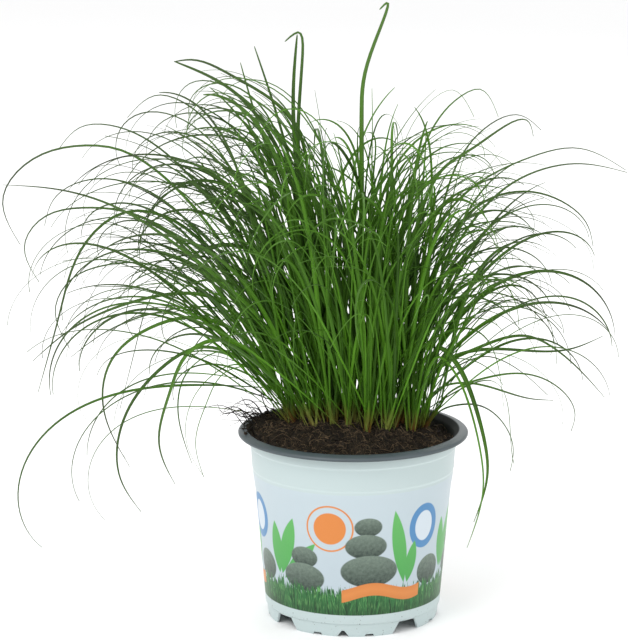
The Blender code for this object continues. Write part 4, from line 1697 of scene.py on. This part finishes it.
    def drill(self, piece: bpy.types.Object) -> None:
        """Cuts the drain holes with one Boolean and applies it.

        Args:
            piece: The pot.
        """
        bm = bmesh.new()
        radius = self.drain_radius * MM
        for hole in range(self.drains):
            angle = 2 * math.pi * (hole + 0.5) / self.drains
            made = bmesh.ops.create_cone(
                bm, cap_ends=True, segments=28, radius1=radius, radius2=radius, depth=5 * MM
            )
            x, y = self.drain_circle * math.cos(angle), self.drain_circle * math.sin(angle)
            place = [c * MM + a for c, a in zip((x, y, self.drain_height), POT_AXIS)]
            bmesh.ops.translate(bm, verts=made["verts"], vec=place)
        mesh = bpy.data.meshes.new("drills")
        bm.to_mesh(mesh)
        bm.free()
        cutter = bpy.data.objects.new("drills", mesh)
        bpy.context.scene.collection.objects.link(cutter)
        modifier = piece.modifiers.new("drain", "BOOLEAN")
        modifier.operation = "DIFFERENCE"
        modifier.solver = "EXACT"
        modifier.object = cutter
        bpy.context.view_layer.update()
        evaluated = piece.evaluated_get(bpy.context.evaluated_depsgraph_get())
        drilled = bpy.data.meshes.new_from_object(evaluated)
        piece.modifiers.clear()
        piece.data = drilled
        bpy.data.objects.remove(cutter)


# The compost


@dataclass(frozen=True)
class Wires:
    """A group of wiry roots: the angle that they spring at, its spread, how far from the axis they
    start, and their length. Degrees and millimetres."""

    turn: tuple[float, float]
    start: tuple[float, float]
    length: tuple[float, float]


@dataclass
class Compost:
    """The bed of compost, with fibres, crumbs and root hairs on it.

    Metres, but what a random length, size or place is drawn from is in millimetres and degrees.
    """

    spokes: int = 330
    circles: int = 104
    bottom: float = 8.3 * MM
    side: float = 50.0 * MM
    bottom_radius: float = 44.2 * MM
    side_height: float = 76.0 * MM
    lattices: tuple[int, ...] = (3, 4, 3)
    clods: tuple = ((8.0, 3.0, 20), (3.2, 2.0, 40), (1.3, 1.3, 90))
    heap: tuple[float, float, float, float] = (-44.0 * MM, -6.0 * MM, 16.0 * MM, 2.6)
    fibres: int = 3000
    hairs: int = 3800
    fibre_length: tuple[float, float] = (3.0, 1.5)
    fibre_curl: float = 2.4
    crumbs: int = 2600
    crumb_size: tuple[float, float] = (4.0, 0.16)
    crumbs_at_wall: float = 0.3
    crumbs_on_lip: float = 0.02
    wall_turn: tuple[float, float] = (185.0, 42.0)
    wall_ring: tuple[float, float] = (50.6, 4.4)
    lip_turn: tuple[float, float] = (176.0, 18.0)
    lip_ring: tuple[float, float] = (52.6, 58.2)
    wires: int = 38
    wires_left: int = 29
    left: Wires = Wires((170.0, 15.0), (42.0, 54.0), (12.0, 38.0))
    right: Wires = Wires((14.0, 14.0), (36.0, 46.0), (5.0, 12.0))
    seed: int = 17
    finish: CompostFinish = field(default_factory=CompostFinish)

    def height(self, x: np.ndarray, y: np.ndarray) -> np.ndarray:
        """The uneven top: the even one, plus noise for each (size, height, shift) of clods, plus a
        heap of h exp(-(d / r)^2) mm at a distance d from a place near the left edge.

        Args:
            x: Across, metres from the pot's axis.
            y: In depth, the same.

        Returns:
            Its height at each point.
        """
        rough = 0.0
        for seed, (size, high, shift) in zip(self.lattices, self.clods):
            noise = Lattice(seed).at(x / (size * MM) + shift, y / (size * MM) + shift)
            rough = rough + high * (noise - 0.5)
        heap_x, heap_y, radius, high = self.heap
        away = np.hypot(x - heap_x, y - heap_y) / radius
        return soil_height(x, y) + (rough + high * np.exp(-away * away)) * MM

    def bed(self) -> Surface:
        """A turned block: P = (r cos a, r sin a, z), with z = height(x, y) on the top's circles.

        Returns:
            The closed block.
        """
        turn = 2 * np.pi * np.arange(self.spokes) / self.spokes
        top = SOIL_RADIUS * np.sqrt(np.linspace(0, 1, self.circles))
        x, y = top[:, None] * np.cos(turn), top[:, None] * np.sin(turn)
        rows = [np.stack([x, y, self.height(x, y)], axis=-1)]
        below = ((self.side, self.side_height), (self.bottom_radius, self.bottom), (0.0, self.bottom))
        for radius, z in below:
            ring = [radius * np.cos(turn), radius * np.sin(turn), np.full_like(turn, z)]
            rows.append(np.stack(ring, axis=-1)[None])
        grid = np.concatenate(rows)
        quads = wall_quads(*grid.shape[:2])
        points = grid.reshape(-1, 3)
        return Surface(points + POT_AXIS, quads, points[quads.ravel(), :2], {})

    @staticmethod
    def on_top(count: int, draw: np.random.Generator) -> tuple[np.ndarray, np.ndarray]:
        """Random places on the top, evenly spread over its area.

        Args:
            count: How many.
            draw: Draws them.

        Returns:
            x and y.
        """
        radius = (SOIL_RADIUS - 0.5 * MM) * np.sqrt(draw.random(count))
        turn = draw.uniform(0, 2 * np.pi, count)
        return radius * np.cos(turn), radius * np.sin(turn)

    def curled(self, count: int, thickness: tuple, tones: tuple, draw: np.random.Generator) -> Surface:
        """Curled fibres: an arc of length l in the ground plane, lifted by sin(pi t) in its middle.

        Args:
            count: How many.
            thickness: Least and greatest radius, millimetres.
            tones: Least and greatest tone, from dark to tan.
            draw: Draws their places and shapes.

        Returns:
            The fibres as closed tubes.
        """
        x, y = self.on_top(count, draw)
        length = draw.gamma(*self.fibre_length, count) * MM
        heading = draw.uniform(0, 2 * np.pi, count)
        curl = draw.normal(0, self.fibre_curl, count)
        t = np.linspace(-0.5, 0.5, 7)[None]
        angle = heading[:, None] + curl[:, None] * t
        step = length[:, None] / 6
        px = x[:, None] + np.cumsum(np.cos(angle) * step, axis=1) - 3 * step * np.cos(heading)[:, None]
        py = y[:, None] + np.cumsum(np.sin(angle) * step, axis=1) - 3 * step * np.sin(heading)[:, None]
        squeeze = np.minimum(1, (SOIL_RADIUS - 0.2 * MM) / np.hypot(px, py))
        px, py = px * squeeze, py * squeeze
        lift = draw.uniform(0.0, 0.3, count)[:, None] * length[:, None] * np.cos(np.pi * t)
        tip = draw.normal(0, 0.12, count)[:, None] * length[:, None] * t
        lines = np.stack([px, py, self.height(px, py) + lift + tip + 0.1 * MM], axis=-1)
        radii = draw.uniform(*thickness, count)[:, None] * MM * (1.1 - np.abs(t) * 1.4)
        return tubes(lines + POT_AXIS, radii, 4, {"tone": draw.uniform(*tones, count)})

    def crumb_places(self, draw: np.random.Generator) -> tuple[np.ndarray, np.ndarray]:
        """Where the crumbs lie: most on the top, some against the left wall, a few on the lip.

        Args:
            draw: Draws them.

        Returns:
            Their middles [crumb, axis] and their sizes.
        """
        x, y = self.on_top(self.crumbs, draw)
        size = draw.gamma(*self.crumb_size, self.crumbs) * MM
        z = self.height(x, y) + size * 0.3
        wall, lip = int(self.crumbs * self.crumbs_at_wall), int(self.crumbs * self.crumbs_on_lip)
        side = draw.uniform(0, 1, wall)
        turn = np.radians(draw.normal(*self.wall_turn, wall))
        radius = (self.wall_ring[0] + self.wall_ring[1] * side) * MM
        x[:wall], y[:wall] = radius * np.cos(turn), radius * np.sin(turn)
        z[:wall] = (97.2 + 2.6 * np.clip((side - 0.4) / 0.6, 0, 1)) * MM + size[:wall] * 0.2
        turn = np.radians(draw.normal(*self.lip_turn, lip))
        radius = draw.uniform(*self.lip_ring, lip) * MM
        x[:lip], y[:lip] = radius * np.cos(turn), radius * np.sin(turn)
        size[:lip] *= 0.6
        z[:lip] = np.where(radius > 55.2 * MM, 100.0 * MM, 97.5 * MM) + size[:lip] * 0.5
        return np.stack([x, y, z], axis=-1), size

    def loose_crumbs(self, draw: np.random.Generator) -> Surface:
        """Crumbs: eight-cornered lumps with each corner drawn in or out, then pitched and yawed.

        Args:
            draw: Draws their places and shapes.

        Returns:
            The lumps.
        """
        centre, size = self.crumb_places(draw)
        count = self.crumbs
        square = ((-1, -1), (1, -1), (1, 1), (-1, 1))
        cube = np.array([(x, y, z) for z in (-1, 1) for x, y in square])
        stretch = draw.uniform(0.45, 1.25, (count, 8, 3)) * draw.uniform(0.6, 1.3, (count, 1, 3))
        corners = cube[None] * stretch * size[:, None, None] * 0.75
        yaw = draw.uniform(0, 2 * np.pi, count)[:, None]
        pitch = draw.uniform(-0.8, 0.8, count)[:, None]
        out = corners[..., 0] * np.cos(pitch) + corners[..., 2] * np.sin(pitch)
        up = corners[..., 2] * np.cos(pitch) - corners[..., 0] * np.sin(pitch)
        x = out * np.cos(yaw) - corners[..., 1] * np.sin(yaw)
        y = out * np.sin(yaw) + corners[..., 1] * np.cos(yaw)
        points = (centre[:, None] + np.stack([x, y, up], axis=-1)).reshape(-1, 3)
        around = [(i, (i + 1) % 4, (i + 1) % 4 + 4, i + 4) for i in range(4)]
        sides = np.array([(3, 2, 1, 0), (4, 5, 6, 7), *around])
        quads = (sides[None] + 8 * np.arange(count)[:, None, None]).reshape(-1, 4)
        tone = np.repeat(draw.random(count) * 0.8, 8)
        return Surface(points + POT_AXIS, quads, points[quads.ravel(), :2], {"tone": tone})

    def root_hairs(self, draw: np.random.Generator) -> Surface:
        """Wiry roots that spring from the left edge of the compost and a few at the right: arcs that
        rise, reach over the lip and curl.

        Args:
            draw: Draws their places and shapes.

        Returns:
            The roots as closed tubes, kept above the lip where they cross it.
        """
        count, left, right = self.wires, self.left, self.right
        at_left = np.arange(count) < self.wires_left
        turn = np.where(at_left, draw.normal(*left.turn, count), draw.normal(*right.turn, count))
        turn = np.radians(turn)
        start = np.where(at_left, draw.uniform(*left.start, count), draw.uniform(*right.start, count))
        start = start * MM
        length = np.where(at_left, draw.uniform(*left.length, count), draw.uniform(*right.length, count))
        length = length * MM
        t = np.linspace(0, 1, 15)[None]
        course = turn[:, None] + draw.normal(0, 1.2, count)[:, None] * t
        climb = draw.uniform(0.2, 0.9, count)[:, None] - draw.uniform(0.2, 1.5, count)[:, None] * t
        climb = climb + 0.6 * np.sin(t * draw.uniform(4, 11, count)[:, None])
        step = length[:, None] / 14
        x = (start * np.cos(turn))[:, None] + np.cumsum(np.cos(climb) * np.cos(course) * step, axis=1)
        y = (start * np.sin(turn))[:, None] + np.cumsum(np.cos(climb) * np.sin(course) * step, axis=1)
        foot = self.height(x[:, :1], y[:, :1])
        z = foot - 0.5 * MM + np.cumsum(np.sin(climb) * step, axis=1)
        z = np.maximum(z, np.where(np.hypot(x, y) > 50 * MM, 101.5 * MM, z))
        radii = draw.uniform(0.16, 0.38, count)[:, None] * MM * (1.05 - 0.7 * t)
        tone = draw.uniform(0.0, 0.25, count)
        return tubes(np.stack([x, y, z], axis=-1) + POT_AXIS, radii, 6, {"tone": tone})

    def build(self) -> None:
        """Makes the bed in place of its solid, then what lies loose on it."""
        draw = np.random.default_rng(self.seed)
        bed = self.bed().to_object("compost_bed", [self.finish.bed()], 50.0, weld=True)
        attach(bed, "root")
        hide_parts("soil")
        loose = self.finish.loose()
        for name, surface in (
            ("compost_fibres", self.curled(self.fibres, (0.07, 0.17), (0.0, 0.97), draw)),
            ("compost_hairs", self.curled(self.hairs, (0.05, 0.1), (0.5, 1.0), draw)),
            ("compost_crumbs", self.loose_crumbs(draw)),
            ("root_hairs", self.root_hairs(draw)),
        ):
            piece = surface.to_object(name, [loose], 40.0)
            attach(piece, "root")
            LOG.info("%s: %d faces", name, len(piece.data.polygons))


# The studio


@dataclass
class Studio:
    """A pale floor, soft light and the camera. Metres and degrees, with the lens in millimetres."""

    camera_place: tuple[float, float, float] = (21.5 * MM, -1.6, 512.5 * MM)
    pitch: float = 12.52
    yaw: float = 0.73
    lens: float = 178.1
    sensor: float = 36.0
    floor_half: float = 9.0
    sky_strength: float = 1.04
    aim: tuple[float, float, float] = (0.0, 0.0, 0.15)
    lamps: tuple = (
        ("key", (-0.9, -1.1, 1.5), 1.1, 16.0),
        ("fill", (1.3, -0.9, 0.9), 1.2, 4.0),
        ("back", (0.3, 1.3, 1.3), 1.0, 6.0),
    )

    def build(self) -> None:
        """Makes the floor, the lights and the camera."""
        self.floor()
        self.sky()
        for lamp in self.lamps:
            self.lamp(*lamp)
        self.camera()
        bpy.context.scene.view_settings.view_transform = "Standard"

    def floor(self) -> None:
        """A plane just under the pot, wide enough to fill the view."""
        bm = bmesh.new()
        bmesh.ops.create_grid(bm, x_segments=1, y_segments=1, size=self.floor_half)
        mesh = bpy.data.meshes.new("floor")
        bm.to_mesh(mesh)
        bm.free()
        mesh.materials.append(FloorFinish().material())
        made = bpy.data.objects.new("floor", mesh)
        bpy.context.scene.collection.objects.link(made)

    def sky(self) -> None:
        """Even white light from all round."""
        world = bpy.data.worlds.new("soft_white")
        world.use_nodes = True
        background = world.node_tree.nodes["Background"]
        background.inputs["Color"].default_value = (1.0, 1.0, 1.0, 1.0)
        background.inputs["Strength"].default_value = self.sky_strength
        bpy.context.scene.world = world

    def lamp(self, name: str, place: tuple[float, float, float], size: float, power: float) -> None:
        """A square soft light turned towards the plant.

        Args:
            name: Its name.
            place: Where it hangs, metres.
            size: Its side, metres.
            power: Watts.
        """
        light = bpy.data.lights.new(name, "AREA")
        light.size = size
        light.energy = power
        made = bpy.data.objects.new(name, light)
        made.location = place
        x, y, z = (a - b for a, b in zip(place, self.aim))
        made.rotation_euler = (math.atan2(math.hypot(x, y), z), 0, math.atan2(y, x) + math.pi / 2)
        bpy.context.scene.collection.objects.link(made)

    def camera(self) -> None:
        """The photograph's view: a long lens from the front, looking down a little."""
        data = bpy.data.cameras.new("camera")
        data.sensor_fit = "VERTICAL"
        data.sensor_height = self.sensor
        data.lens = self.lens
        data.clip_start = 0.05
        made = bpy.data.objects.new("camera", data)
        made.location = self.camera_place
        made.rotation_euler = (math.radians(90 - self.pitch), 0, math.radians(self.yaw))
        bpy.context.scene.collection.objects.link(made)
        bpy.context.scene.camera = made


def main() -> None:
    """Builds the plant and the studio."""
    logging.basicConfig(level=logging.INFO, format="%(message)s")
    Pot().build()
    Compost().build()
    TuftBuilder().build(Tuft())
    Studio().build()


if __name__ == "__main__":
    main()
